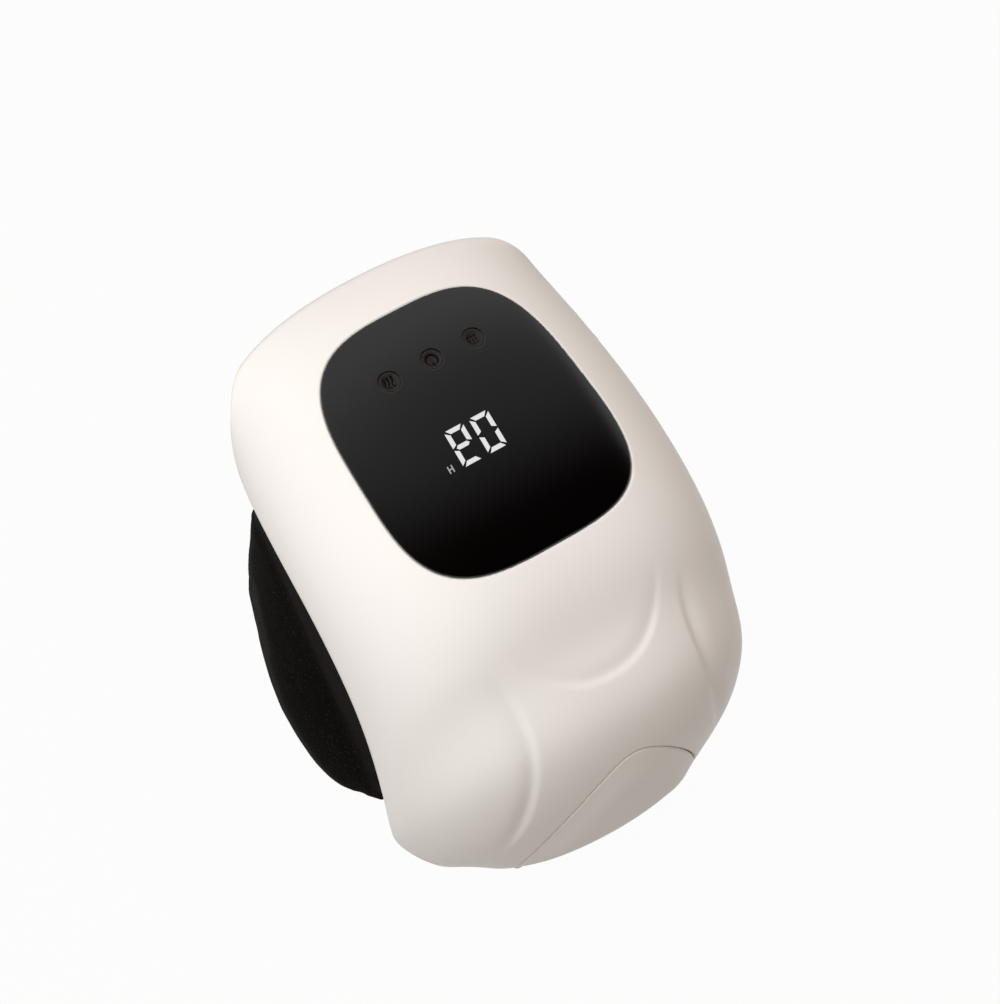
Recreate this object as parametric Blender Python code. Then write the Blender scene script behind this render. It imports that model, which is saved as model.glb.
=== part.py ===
"""Knee massager with a moulded arch shell, a control panel and two padded wings.

Metres, +Z up. The object lies with its hollow side down, on the two feet of its shin end and on
its wings. +Y is the thigh end, -Y the shin end and +X the right side of the person who wears it.
"""
import math

import bmesh
import bpy
import numpy as np
from mathutils import Matrix, Vector

# Overall sizes, read from the photograph with the two figures taken as 14 mm tall.
LENGTH = 0.192
HALF_WIDTH = 0.0702
HEIGHT = 0.1185
WALL = 0.0026
GAP = 0.0003
TOUCH = 0.00005
THIN_SHARE = 0.55
THIN_STATIONS = 0.9
CORNER_STATIONS = 0.5
CORNER_DEG = (55.0, 88.0)
OVERRUN = 0.006

# Small steps along the surfaces, for their slopes, and how near to their ends a search may come.
STEP_STATIONS = 0.01
STEP_DEG = 0.2
SIDE_LIMIT_SHARE = 0.999
END_STATIONS = 0.02
SEARCH_STATIONS = (0.15, 6.8)
WALL_SEARCH_DEG = (70, 90)

# The arch, at eight stations from the thigh end to the shin end, as shares of the overall sizes.
CROWN_Y_SHARES = (0.499, 0.380, 0.1555, -0.1195, -0.263, -0.375, -0.453, -0.499)
CROWN_Z_SHARES = (0.874, 0.966, 1.0, 0.981, 0.846, 0.740, 0.501, 0.157)
RIM_X_SHARES = (0.842, 0.922, 0.980, 0.994, 1.0, 0.972, 0.823, 0.611)
RIM_Y_SHARES = (0.390, 0.302, 0.062, -0.144, -0.269, -0.3195, -0.378, -0.397)
RIM_Z_SHARES = (0.793, 0.653, 0.618, 0.477, 0.245, 0.119, 0.055, -0.012)
LAST = 7.0
MIDDLE = 3.5
SHELL_COLUMNS = 25
SHELL_ROWS = 27
SIDE_POWERS = (2.19, 3.05, 1.97)
TOP_POWER = 2.31

# The knee side of the frame, as a depth under the shell's crown and a step in from its rim.
HOLLOW_DEPTH = 0.0345
HOLLOW_DEPTH_SHARES = (0.17, 0.60, 1.0, 1.0, 1.0, 0.72, 0.46, 0.16)
HOLLOW_SIDE = 0.0080
FRAME_WALL = 0.0020
FRAME_RIM_DEG = 76.0
FRAME_BLEND_DEG = 20.0
FRAME_BLEND_STATIONS = 0.85
FRAME_CORNER_STATIONS = 1.2
FRAME_RUN = (0.12, 6.85)

# The inset fields of the shell: a U under the panel and a round swelling at each lower side.
FOLD_DEPTH = 0.0008
FOLD_U = {"station": 2.404, "reach": 2.10, "deg": 0.0, "width_deg": 26.2, "power": 2.29}
FOLD_U_FADE = (2.2, 2.8)
FOLD_SIDE = {"station": 4.47, "reach": 1.75, "deg": 60.0, "width_deg": 32.0, "power": 2.0}
FOLD_FADE_DEG = (64.0, 80.0)
FOLD_START_SHARE = 0.72
FOLD_RING_SHARES = (0.26, 0.52, FOLD_START_SHARE, 0.88, 1.0)

# The panel and what it carries. The panel's outline is a rounded shield.
PANEL_TOP_HALF = 0.0411
PANEL_FOOT_HALF = 0.0455
PANEL_HALF_LENGTH = 0.0479
PANEL_Y = 0.0270
PANEL_POWER = 3.31
PANEL_RING_SHARES = (0.4, 0.75, 1.0)
PANEL_THICK = 0.0016
PANEL_LEDGE = 0.0030
PANEL_PROUD = 0.0002
PANEL_SEAT = PANEL_THICK - PANEL_PROUD + 2 * TOUCH
BUTTON_RADIUS = 0.0035
BUTTON_PITCH = 0.0165
BUTTON_Y = 0.0530
BUTTON_TRAVEL = 0.0005
BUTTON_CLEARANCE = 0.00025
BUTTON_SUNK = 0.0004
BUTTON_DISH = 0.0009
DISH_SHARES = ((0.55, 0.75), (0.14, 1.0))
BUTTON_STEM_RADIUS = 0.0015
BUTTON_FLANGE = 0.0007
BUTTON_NAMES = ("heat_button", "power_button", "massage_button")
SWITCH_NAMES = ("heat_switch", "power_switch", "massage_switch")

# Board, display block, switches and cells under the panel.
BOARD_WIDTH = 0.0680
BOARD_LENGTH = 0.0620
BOARD_THICK = 0.0016
BOARD_Y = 0.0300
BOARD_TOP = HEIGHT - 0.0100
DISPLAY_WIDTH = 0.0240
DISPLAY_LENGTH = 0.0180
DISPLAY_Y = 0.0230
DISPLAY_X = -0.0025
DISPLAY_UNDER_PANEL = 0.0008
EDGE_ROUND = 0.0004
SWITCH_SIZE = 0.0060
SWITCH_HEIGHT = 0.0034
SWITCH_NIB_RADIUS = 0.0016
SWITCH_NIB = 0.0008
CELL_RADIUS = 0.0071
CELL_LENGTH = 0.0490
CELL_CAP_RADIUS = 0.0028
CELL_CAP = 0.0008
CELL_PITCH = 0.0152
CELLS_Y = 0.0220
CELL_TOP_UNDER_BOARD = 0.0012
CRADLE_WALL = 0.0014
CRADLE_END = 0.0012
REST_SHARES = (0.4, 0.7)
POST_RADIUS = 0.0030
POST_DEPTH = 0.0260
FITTING_LAST = 5.0
POST_INSET = 0.0035
BOARD_SCREW_RADIUS = 0.0010
BOARD_SCREW_HEAD_RADIUS = 0.0019
BOARD_SCREW_HEAD = 0.0012
BOARD_SCREW_LENGTH = 0.0060

# Vibration motors in the shoulders of the arch, with their shafts along Y.
MOTOR_RADIUS = 0.0085
MOTOR_LENGTH = 0.0240
MOTOR_X = 0.0455
MOTOR_Y = 0.0060
MOTOR_Z = HEIGHT - 0.0255
SHAFT_RADIUS = 0.0010
SHAFT_CLEARANCE = 0.00005
SHAFT_LENGTH = 0.0110
WEIGHT_RADIUS = 0.0070
WEIGHT_LENGTH = 0.0070
WEIGHT_HUB_RADIUS = 0.0022
CLAMP_WIDTH = 0.0080
CLAMP_THICK = 0.0012
SADDLE_WIDTH = 0.0160

# Charging socket in the right wall, behind a soft hinged cover.
PORT_Y = 0.0470
PORT_Z = 0.0880
PORT_SEARCH_DEG = (60, 89)
PORT_LENGTH = 0.0150
PORT_HEIGHT = 0.0066
PORT_COVER_THICK = 0.0014
PORT_COVER_ROUND = 0.0005
SOCKET_WIDTH = 0.0090
SOCKET_HEIGHT = 0.0032
SOCKET_DEPTH = 0.0070
SOCKET_WALL = 0.0004
SOCKET_EDGE_SHARE = 0.2
SOCKET_BOARD_THICK = 0.0010
SOCKET_BOARD_WIDTH = 0.0135
SOCKET_BOARD_HEIGHT = 0.0077
SOCKET_CLEARANCE = 0.00015
COVER_HINGE_ROOM = 0.0018

# Screws that hold the frame in the shell.
SCREW_RADIUS = 0.0014
SCREW_HEAD_RADIUS = 0.0027
SCREW_HEAD = 0.0018
SCREW_LENGTH = 0.0110
SCREW_CLEARANCE = 0.0001
BOSS_RADIUS = 0.0034
PAD_HEIGHT = 0.0050
SCREW_SINK = 0.0024
FRAME_SCREWS = {
    "frame_screw_thigh_left": (-0.0400, 0.0600),
    "frame_screw_thigh_right": (0.0400, 0.0600),
    "frame_screw_shin_left": (-0.0360, -0.0240),
    "frame_screw_shin_right": (0.0360, -0.0240),
}

# Heater and liner on the knee side of the frame.
HEATER_THICK = 0.0005
HEATER_INSET = 4
LINER_THICK = 0.0040
LINER_INSET = (3, 1)
LINER_EDGE_SHARE = 0.45
LINER_ROUND_STATIONS = 0.55
LINER_ROUND_DEG = 14.0

# The lip at the shin end.
SEAM_STATION = 5.74
SEAM_SLOPE_PER_DEG = 0.0245
SEAM_ROUND_DEG = 7.0
SEAM_END_DEG = 54.0
LIP_BULGE = 0.0006
LIP_EDGE_SHARE = 0.08
LIP_ROOM_DEG = 1.5
LIP_ROOM_STATIONS = 0.03

# The wings. Each bends on a slanted line that runs from the thigh end to the shin end.
WING_THIGH_Y = 0.0540
WING_SHIN_Y = -0.0480
AXIS_THIGH_X = 0.0600
AXIS_SHIN_X = 0.0655
AXIS_THIGH_Z = 0.0620
AXIS_SHIN_Z = 0.0225
WING_THICK = 0.0110
WING_EDGE_THICK = 0.0014
WING_PRESS = 0.0004
TIP_ROUND = 0.0090
WING_BOW = 0.0105
WING_BOW_Y_SHARES = (-0.260, -0.208, -0.130, -0.068, -0.021, 0.047, 0.115, 0.182, 0.281)
WING_BOW_SHARES = (0.50, 0.66, 0.80, 0.84, 0.84, 0.74, 0.57, 0.34, 0.12)
BOW_SHOULDER_SHARE = 0.30
BOW_HIP_SHARE = 1.25
WING_HEEL = 0.0090
WING_NARROW_POWER = 1.35
WING_NARROW_RUN_SHARE = 0.8
WING_EDGE_POWER = 6
WING_NOSE_SHARE = 0.7
LEFT_TIP_X = 0.0170
RIGHT_TIP_X = 0.0240
TIP_THIGH_Y = 0.0380
TIP_SHIN_Y = -0.0140
WING_GAP = 0.0003
ROOT_OUT_DEG = 54.0
ROOT_IN_DEG = 25.0
TUCK = 0.0065
TUCK_THICK = 0.0030
ROOT_SHIN_Y = -0.0465
ROOT_THIGH_Y = 0.0520
RAIL_THICK = 0.0016
RAIL_FOOT_SHARE = 0.3
HOOK_TAB_THICK = 0.0020
HOOK_TAB_REACH = 0.0270
HOOK_TAB_SEAT = 0.0090
HOOK_TAB_WIDTH = 0.0400
LOOP_THICK = 0.0012
LOOP_LENGTH = 0.0260


def clear_scene():
    for obj in list(bpy.data.objects):
        bpy.data.objects.remove(obj, do_unlink=True)


def material(name, colour, roughness, metallic=0.0):
    made = bpy.data.materials.get(name)
    if made is None:
        made = bpy.data.materials.new(name)
        made.use_nodes = True
        shader = made.node_tree.nodes["Principled BSDF"]
        shader.inputs["Base Color"].default_value = (*colour, 1.0)
        shader.inputs["Roughness"].default_value = roughness
        shader.inputs["Metallic"].default_value = metallic
    return made


WHITE = ("shell_white", (0.83, 0.82, 0.80), 0.28)
GLOSS_BLACK = ("panel_black", (0.012, 0.011, 0.011), 0.22)
FABRIC_BLACK = ("wing_fabric", (0.018, 0.017, 0.016), 0.95)
FRAME_GREY = ("frame_grey", (0.10, 0.10, 0.105), 0.55)
BOARD_GREEN = ("board_green", (0.02, 0.14, 0.07), 0.45)
CELL_BLUE = ("cell_wrap", (0.05, 0.16, 0.35), 0.35)
STEEL = ("steel", (0.60, 0.60, 0.61), 0.30, 1.0)
SOFT_BLACK = ("soft_black", (0.03, 0.03, 0.03), 0.70)
HEATER_AMBER = ("heater_amber", (0.50, 0.22, 0.05), 0.40)
SWITCH_BLACK = ("switch_black", (0.04, 0.04, 0.04), 0.50)


def finish(name, mesh, look):
    obj = bpy.data.objects.new(name, mesh)
    bpy.context.collection.objects.link(obj)
    mesh.materials.append(material(*look))
    for face in mesh.polygons:
        face.use_smooth = True
    return obj


def mesh_from(name, points, faces, look):
    """A closed solid from points and faces, with its normals facing out."""
    mesh = bpy.data.meshes.new(name)
    mesh.from_pydata([tuple(point) for point in points], [], faces)
    work = bmesh.new()
    work.from_mesh(mesh)
    bmesh.ops.recalc_face_normals(work, faces=work.faces)
    bent = [face for face in work.faces if len(face.verts) == 4]
    bmesh.ops.triangulate(work, faces=bent)
    work.to_mesh(mesh)
    work.free()
    return finish(name, mesh, look)


def grid_solid(name, outer, inner, look):
    """A solid between two grids of points with the same rows and columns."""
    rows, columns = outer.shape[:2]
    size = rows * columns

    def at(side, row, column):
        return side * size + row * columns + column

    faces = []
    for row in range(rows - 1):
        for column in range(columns - 1):
            for side in (0, 1):
                ring = [at(side, row, column), at(side, row + 1, column),
                        at(side, row + 1, column + 1), at(side, row, column + 1)]
                faces.append(ring if side else ring[::-1])
    border = [(0, column) for column in range(columns - 1)]
    border += [(row, columns - 1) for row in range(rows - 1)]
    border += [(rows - 1, column) for column in range(columns - 1, 0, -1)]
    border += [(row, 0) for row in range(rows - 1, 0, -1)]
    for here, there in zip(border, border[1:] + border[:1]):
        faces.append([at(0, *here), at(0, *there), at(1, *there), at(1, *here)])
    points = np.concatenate([outer.reshape(-1, 3), inner.reshape(-1, 3)])
    return mesh_from(name, points, faces, look)


def ring_solid(name, rings, look):
    """A solid through closed rings of points, with both ends filled."""
    count = len(rings[0])
    faces = [list(range(count))[::-1]]
    for ring in range(len(rings) - 1):
        start, after = ring * count, (ring + 1) * count
        for here in range(count):
            there = (here + 1) % count
            faces.append([start + here, start + there, after + there, after + here])
    faces.append([(len(rings) - 1) * count + here for here in range(count)])
    return mesh_from(name, np.concatenate(rings), faces, look)


def disc_solid(name, centres, top, bottom, look):
    """A solid between two discs, each given as its centre and its rings of points."""
    rings, count = top.shape[:2]
    size = 1 + rings * count

    def at(side, ring, here):
        return side * size + 1 + ring * count + here % count

    faces = []
    for side in (0, 1):
        for here in range(count):
            faces.append([side * size, at(side, 0, here), at(side, 0, here + 1)])
            for ring in range(rings - 1):
                faces.append([at(side, ring, here), at(side, ring + 1, here),
                              at(side, ring + 1, here + 1), at(side, ring, here + 1)])
    for here in range(count):
        faces.append([at(0, rings - 1, here), at(1, rings - 1, here),
                      at(1, rings - 1, here + 1), at(0, rings - 1, here + 1)])
    points = [centres[0], *top.reshape(-1, 3), centres[1], *bottom.reshape(-1, 3)]
    return mesh_from(name, points, faces, look)


def turned(name, profile, look, at, axis=(0, 0, 1), sides=20):
    """A solid of revolution through (radius, height) pairs, closed flat at both ends."""
    turn = Vector((0, 0, 1)).rotation_difference(Vector(axis)).to_matrix()
    rings = []
    for radius, height in profile:
        angles = [2 * math.pi * side / sides for side in range(sides)]
        spots = [(radius * math.cos(angle), radius * math.sin(angle), height) for angle in angles]
        rings.append(np.array([Vector(at) + turn @ Vector(spot) for spot in spots]))
    return ring_solid(name, rings, look)


def rod(name, radius, low, high, look, sides=20):
    """A plain cylinder from one point to another."""
    length = (Vector(high) - Vector(low)).length
    return turned(name, [(radius, 0), (radius, length)], look, low, Vector(high) - Vector(low), sides)


def block(name, size, centre, look, bevel=0.0):
    work = bmesh.new()
    bmesh.ops.create_cube(work, size=1.0)
    bmesh.ops.scale(work, vec=size, verts=work.verts)
    if bevel:
        bmesh.ops.bevel(work, geom=work.edges[:], offset=bevel, segments=2, affect="EDGES", profile=0.5)
    bmesh.ops.translate(work, vec=centre, verts=work.verts)
    mesh = bpy.data.meshes.new(name)
    work.to_mesh(mesh)
    work.free()
    return finish(name, mesh, look)


def boolean(target, tool, operation):
    """Cuts or joins with the tool, which stays in the scene as a hidden helper."""
    step = target.modifiers.new(tool.name, "BOOLEAN")
    step.operation = operation
    step.solver = "EXACT"
    step.object = tool
    tool.hide_render = True
    tool.display_type = "WIRE"


def cut(target, *tools):
    for tool in tools:
        boolean(target, tool, "DIFFERENCE")


def join(target, *tools):
    for tool in tools:
        boolean(target, tool, "UNION")


def put_origin(obj, at):
    """Moves the object's origin to a point without moving its shape."""
    obj.data.transform(Matrix.Translation(-Vector(at)))
    obj.location = at


def paired(first, second):
    """Two sets of values as arrays of one shape."""
    return np.broadcast_arrays(np.asarray(first, float), np.asarray(second, float))


class Arch:
    """A surface lofted through stations, whose sections are power curves from rim to rim."""

    def __init__(self, crown, rim):
        self.rows = np.column_stack([crown, rim])
        count = len(self.rows)
        system = np.eye(count)
        wanted = np.zeros_like(self.rows)
        for row in range(1, count - 1):
            system[row, row - 1:row + 2] = 1, 4, 1
            wanted[row] = 6 * (self.rows[row - 1] - 2 * self.rows[row] + self.rows[row + 1])
        self.bends = np.linalg.solve(system, wanted)

    def row(self, station):
        """Crown y and z, then rim x, y and z, on a natural cubic spline through the stations."""
        low = np.clip(np.floor(station), 0, LAST - 1).astype(int)
        after = (station - low)[..., None]
        before = 1 - after
        value = before * self.rows[low] + after * self.rows[low + 1]
        bend = (before ** 3 - before) * self.bends[low]
        bend = bend + (after ** 3 - after) * self.bends[low + 1]
        return value + bend / 6

    def point(self, station, degrees):
        station, degrees = paired(station, degrees)
        crown_y, crown_z, rim_x, rim_y, rim_z = np.moveaxis(self.row(station), -1, 0)
        power = np.interp(station, (0, MIDDLE, LAST), SIDE_POWERS)
        sine, cosine = np.sin(np.radians(degrees)), np.cos(np.radians(degrees))
        side, top = np.abs(sine), np.abs(cosine)
        reach = np.ones_like(side)
        for _ in range(12):
            value = (reach * side) ** power + (reach * top) ** TOP_POWER - 1
            slope = power * (reach * side) ** power + TOP_POWER * (reach * top) ** TOP_POWER
            slope = slope / reach
            reach = reach - value / slope
        rise = reach * cosine
        return np.stack([rim_x * reach * sine, rim_y + (crown_y - rim_y) * rise,
                         rim_z + (crown_z - rim_z) * rise], axis=-1)

    def normal(self, station, degrees):
        """The outward direction, from the surface on both sides of the place."""
        low = np.clip(station - STEP_STATIONS, 0, LAST)
        high = np.clip(station + STEP_STATIONS, 0, LAST)
        along = self.point(high, degrees) - self.point(low, degrees)
        across = self.point(station, degrees + STEP_DEG) - self.point(station, degrees - STEP_DEG)
        out = np.cross(across, along)
        return -out / np.linalg.norm(out, axis=-1, keepdims=True)

    def offset(self, station, degrees, inward):
        station, degrees = paired(station, degrees)
        inward = np.broadcast_to(inward, station.shape)
        return self.point(station, degrees) - self.normal(station, degrees) * inward[..., None]

    def locate(self, x, y):
        """Station and angle of the surface over a place in plan."""
        x, y = paired(x, y)
        station = np.interp(-y, -self.rows[:, 0], np.arange(len(self.rows)))
        for _ in range(8):
            degrees = self.angle_at(station, x)
            here = self.point(station, degrees)[..., 1]
            next_station = station + STEP_STATIONS
            ahead = self.point(next_station, self.angle_at(next_station, x))[..., 1]
            station = station - (here - y) * STEP_STATIONS / (ahead - here)
            station = np.clip(station, 0, LAST - END_STATIONS)
        return station, self.angle_at(station, x)

    def angle_at(self, station, x):
        rim_x = self.row(station)[..., 2]
        power = np.interp(station, (0, MIDDLE, LAST), SIDE_POWERS)
        share = np.clip(np.abs(x) / rim_x, 0, SIDE_LIMIT_SHARE)
        rise = (1 - share ** power) ** (1 / TOP_POWER)
        return np.degrees(np.arctan2(np.sign(x) * share, rise))

    def height(self, x, y, inward=0.0):
        return float(self.offset(*self.locate(x, y), inward)[..., 2])


def shell_arch():
    crown_y, crown_z = np.array(CROWN_Y_SHARES) * LENGTH, np.array(CROWN_Z_SHARES) * HEIGHT
    crown = np.column_stack([crown_y, crown_z])
    rim_x, rim_y = np.array(RIM_X_SHARES) * HALF_WIDTH, np.array(RIM_Y_SHARES) * LENGTH
    rim = np.column_stack([rim_x, rim_y, np.array(RIM_Z_SHARES) * HEIGHT])
    return Arch(crown, rim)


def knee_arch(shell):
    """The surface on the knee side: the shell's crown pushed in, and its rims stepped in."""
    crown, rim = shell.rows[:, :2].copy(), shell.rows[:, 2:].copy()
    inward = rim[:, 1:] - crown
    inward /= np.linalg.norm(inward, axis=1, keepdims=True)
    crown += inward * (np.array(HOLLOW_DEPTH_SHARES) * HOLLOW_DEPTH)[:, None]
    rim[:, 0] -= HOLLOW_SIDE
    return Arch(crown, rim)


def steps(low, high, count):
    return np.linspace(low, high, count)


def frame_grid(rows=0, columns=0):
    """Stations and angles of the frame's grid, less some at each border. Its neighbours share it."""
    station, degrees = steps(*FRAME_RUN, 23), steps(-FRAME_RIM_DEG, FRAME_RIM_DEG, 21)
    return station[rows:len(station) - rows, None], degrees[None, columns:len(degrees) - columns]


def smooth(value):
    value = np.clip(value, 0, 1)
    return value * value * (3 - 2 * value)


def wall_at(station):
    """The shell's wall, which thins toward its thigh end."""
    return WALL * (THIN_SHARE + (1 - THIN_SHARE) * smooth(np.asarray(station, float) / THIN_STATIONS))


def corner_start(degrees):
    """Station where the shell begins. It moves back toward the rims, to round the thigh corners."""
    share = (np.abs(degrees) - CORNER_DEG[0]) / (CORNER_DEG[1] - CORNER_DEG[0])
    return CORNER_STATIONS * smooth(share)


SHELL = shell_arch()
KNEE = knee_arch(SHELL)


def frame_face(station, degrees):
    """The frame's outer face: against the shell at its border, down at the knee in its middle."""
    station, degrees = paired(station, degrees)
    ends = smooth((station - FRAME_RUN[0]) / FRAME_BLEND_STATIONS)
    ends = ends * smooth((FRAME_RUN[1] - station) / FRAME_BLEND_STATIONS)
    sides = smooth((FRAME_RIM_DEG - np.abs(degrees)) / FRAME_BLEND_DEG)
    share = (ends * sides)[..., None]
    fade = np.clip(1 - station / FRAME_CORNER_STATIONS, 0, 1)
    against = station + corner_start(degrees) * fade
    against = SHELL.offset(against, degrees, wall_at(against) + GAP)
    return (1 - share) * against + share * KNEE.point(station, degrees)


def frame_point(station, degrees, deeper=0.0):
    """A place in the frame's wall, measured square to its outer face."""
    low = np.maximum(station - 2 * STEP_STATIONS, FRAME_RUN[0])
    high = np.minimum(station + 2 * STEP_STATIONS, FRAME_RUN[1])
    along = frame_face(high, degrees) - frame_face(low, degrees)
    across = frame_face(station, degrees + 2 * STEP_DEG) - frame_face(station, degrees - 2 * STEP_DEG)
    out = np.cross(along, across)
    out = out / np.linalg.norm(out, axis=-1, keepdims=True)
    return frame_face(station, degrees) - out * deeper


def field_disc(field, side, rings, count=36):
    """Stations and angles over one inset field of the shell, as rings round its centre."""
    turn = steps(0, 2 * math.pi, count + 1)[:-1]
    along = np.sign(np.sin(turn)) * np.abs(np.sin(turn)) ** (2 / field["power"])
    across = np.sign(np.cos(turn)) * np.abs(np.cos(turn)) ** (2 / field["power"])
    share = np.array(rings)[:, None]
    station = np.clip(field["station"] + field["reach"] * share * along, 0, LAST)
    degrees = side * (field["deg"] + field["width_deg"] * share * across)
    return station, degrees


def fold_cutter(name, field, side=1):
    """Cuts an inset field that is deepest at its edge, so a crisp step is left round it."""
    station, degrees = field_disc(field, side, FOLD_RING_SHARES)
    share = smooth((np.array(FOLD_RING_SHARES) - FOLD_START_SHARE) / (1 - FOLD_START_SHARE))
    fade = smooth((FOLD_FADE_DEG[1] - np.abs(degrees)) / (FOLD_FADE_DEG[1] - FOLD_FADE_DEG[0]))
    fade *= smooth((station - FOLD_U_FADE[0]) / (FOLD_U_FADE[1] - FOLD_U_FADE[0]))
    depth = -GAP + (FOLD_DEPTH + GAP) * share[:, None] * fade
    centre = np.array([field["station"]]), np.array([side * field["deg"]])
    centres = SHELL.offset(*centre, -OVERRUN)[0], SHELL.offset(*centre, -GAP)[0]
    top = SHELL.offset(station, degrees, -OVERRUN)
    return disc_solid(name, centres, top, SHELL.offset(station, degrees, depth), WHITE)


def panel_outline(grow, rings, count=44):
    """Plan places over the panel, as rings round its centre. A positive grow widens it."""
    turn = steps(0, 2 * math.pi, count + 1)[:-1]
    across = np.sign(np.cos(turn)) * np.abs(np.cos(turn)) ** (2 / PANEL_POWER)
    along = np.sign(np.sin(turn)) * np.abs(np.sin(turn)) ** (2 / PANEL_POWER)
    half = (PANEL_TOP_HALF + PANEL_FOOT_HALF) / 2
    half = half + (PANEL_TOP_HALF - PANEL_FOOT_HALF) / 2 * along
    share = np.array(rings)[:, None]
    return (half + grow) * across * share, PANEL_Y + (PANEL_HALF_LENGTH + grow) * along * share


def panel_solid(name, grow, top, bottom, look):
    """A sheet with the panel's outline between two depths under the shell's surface."""
    x, y = panel_outline(grow, PANEL_RING_SHARES)
    station, degrees = SHELL.locate(x, y)
    centre = SHELL.locate(np.zeros(1), np.full(1, PANEL_Y))
    centres = SHELL.offset(*centre, top)[0], SHELL.offset(*centre, bottom)[0]
    return disc_solid(name, centres, SHELL.offset(station, degrees, top),
                      SHELL.offset(station, degrees, bottom), look)


def seam_station(degrees):
    rounded = np.sqrt(degrees ** 2 + SEAM_ROUND_DEG ** 2) - SEAM_ROUND_DEG
    return SEAM_STATION + SEAM_SLOPE_PER_DEG * rounded


def lip_grid(outward, inward, end_deg, lift, past):
    """Grids of points over the lip: rows from the seam to the rim, columns from side to side."""
    degrees = steps(-end_deg, end_deg, 23)[None, :]
    start = seam_station(degrees) - lift
    share = steps(0, 1, 7)[:, None]
    station = start + (LAST + past - start) * share
    station, degrees = np.broadcast_arrays(station, degrees)
    clipped = np.minimum(station, LAST)
    middle = np.clip(share, LIP_EDGE_SHARE, 1 - LIP_EDGE_SHARE)
    bulge = outward + LIP_BULGE * np.sin(math.pi * middle) * (past == 0)
    outer = SHELL.offset(clipped, degrees, -bulge)
    inner = SHELL.offset(clipped, degrees, inward)
    beyond = (station - clipped)[..., None] * np.array([0, 0, -1.0])
    return outer + beyond, inner + beyond


def floor_cutter(name):
    """Everything under the floor, which leaves flat feet on what stands on it."""
    depth = 2 * OVERRUN
    return block(name, (LENGTH, 2 * LENGTH, depth), (0, 0, -depth / 2), WHITE)


def port_frame():
    """Place and outward direction of the charging port in the right wall."""
    degrees = steps(*PORT_SEARCH_DEG, 59)
    station = np.ones_like(degrees)
    for _ in range(6):
        spots = SHELL.point(station, degrees)
        ahead = SHELL.point(station + STEP_STATIONS, degrees)
        station = station - (spots[:, 1] - PORT_Y) * STEP_STATIONS / (ahead[:, 1] - spots[:, 1])
    pick = int(np.argmin(np.abs(SHELL.point(station, degrees)[:, 2] - PORT_Z)))
    spot = SHELL.point(station[pick:pick + 1], degrees[pick:pick + 1])[0]
    out = SHELL.normal(station[pick:pick + 1], degrees[pick:pick + 1])[0]
    return Vector(spot), Vector(out)


PORT_SPOT, PORT_OUT = port_frame()
PORT_ALONG = Vector((0, 1, 0)) - PORT_OUT * PORT_OUT.y
PORT_ALONG.normalize()
PORT_UP = PORT_OUT.cross(PORT_ALONG)
PORT_TURN = Matrix((PORT_OUT, PORT_ALONG, PORT_UP)).transposed().to_4x4()


def port_block(name, size, depth, look, bevel=0.0, shift=0.0):
    """A block at the port, with its outer face at a depth under the wall's surface."""
    obj = block(name, size, (-depth - size[0] / 2, shift, 0), look, bevel)
    obj.data.transform(Matrix.Translation(PORT_SPOT) @ PORT_TURN)
    return obj


def make_shell():
    degrees = steps(-90, 90, SHELL_COLUMNS)[None, :]
    share = steps(0, 1, SHELL_ROWS)[:, None]
    station = corner_start(degrees) + (LAST - corner_start(degrees)) * share
    outer = SHELL.offset(station, degrees, 0.0)
    inner = SHELL.offset(station, degrees, wall_at(station))
    shell = grid_solid("front_shell", outer, inner, WHITE)
    for name, (x, y) in FRAME_SCREWS.items():
        roof = SHELL.height(x, y, WALL / 2)
        foot = screw_seat(x, y) + PAD_HEIGHT + GAP
        join(shell, rod(name + "_boss", BOSS_RADIUS, (x, y, foot), (x, y, roof), WHITE, 14))
        top = foot - PAD_HEIGHT + SCREW_SINK + SCREW_LENGTH + GAP
        cut(shell, rod(name + "_hole", SCREW_RADIUS + SCREW_CLEARANCE, (x, y, foot - OVERRUN),
                       (x, y, top), WHITE, 12))
    cut(shell, fold_cutter("fold_u", FOLD_U))
    cut(shell, fold_cutter("fold_right", FOLD_SIDE), fold_cutter("fold_left", FOLD_SIDE, -1))
    cut(shell, panel_solid("panel_pocket", GAP, -OVERRUN, PANEL_SEAT, WHITE))
    cut(shell, panel_solid("panel_window", -PANEL_LEDGE, -OVERRUN, WALL + OVERRUN, WHITE))
    opening = lip_grid(OVERRUN, OVERRUN, SEAM_END_DEG + LIP_ROOM_DEG, LIP_ROOM_STATIONS, OVERRUN)
    cut(shell, grid_solid("lip_opening", *opening, WHITE))
    recess = (OVERRUN + PORT_COVER_THICK + GAP, PORT_LENGTH + COVER_HINGE_ROOM + 2 * GAP,
              PORT_HEIGHT + 2 * GAP)
    cut(shell, port_block("port_recess", recess, -OVERRUN, WHITE, 0.0, COVER_HINGE_ROOM / 2))
    hole = (2 * OVERRUN, SOCKET_WIDTH + 2 * SOCKET_CLEARANCE, SOCKET_HEIGHT + 2 * SOCKET_CLEARANCE)
    cut(shell, port_block("port_hole", hole, 0.0, WHITE))
    cut(shell, floor_cutter("shell_floor"))
    return shell


def make_lip():
    outer, inner = lip_grid(0.0, WALL, SEAM_END_DEG, 0.0, 0.0)
    lip = grid_solid("chin_cover", outer, inner, WHITE)
    cut(lip, floor_cutter("lip_floor"))
    return lip


def lowest(x, y, radius, inward):
    """Lowest height under the shell's surface on a ring round a place."""
    turn = steps(0, 2 * math.pi, 17)
    place = SHELL.locate(x + radius * np.cos(turn), y + radius * np.sin(turn))
    return float(SHELL.offset(*place, inward)[:, 2].min())


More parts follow.
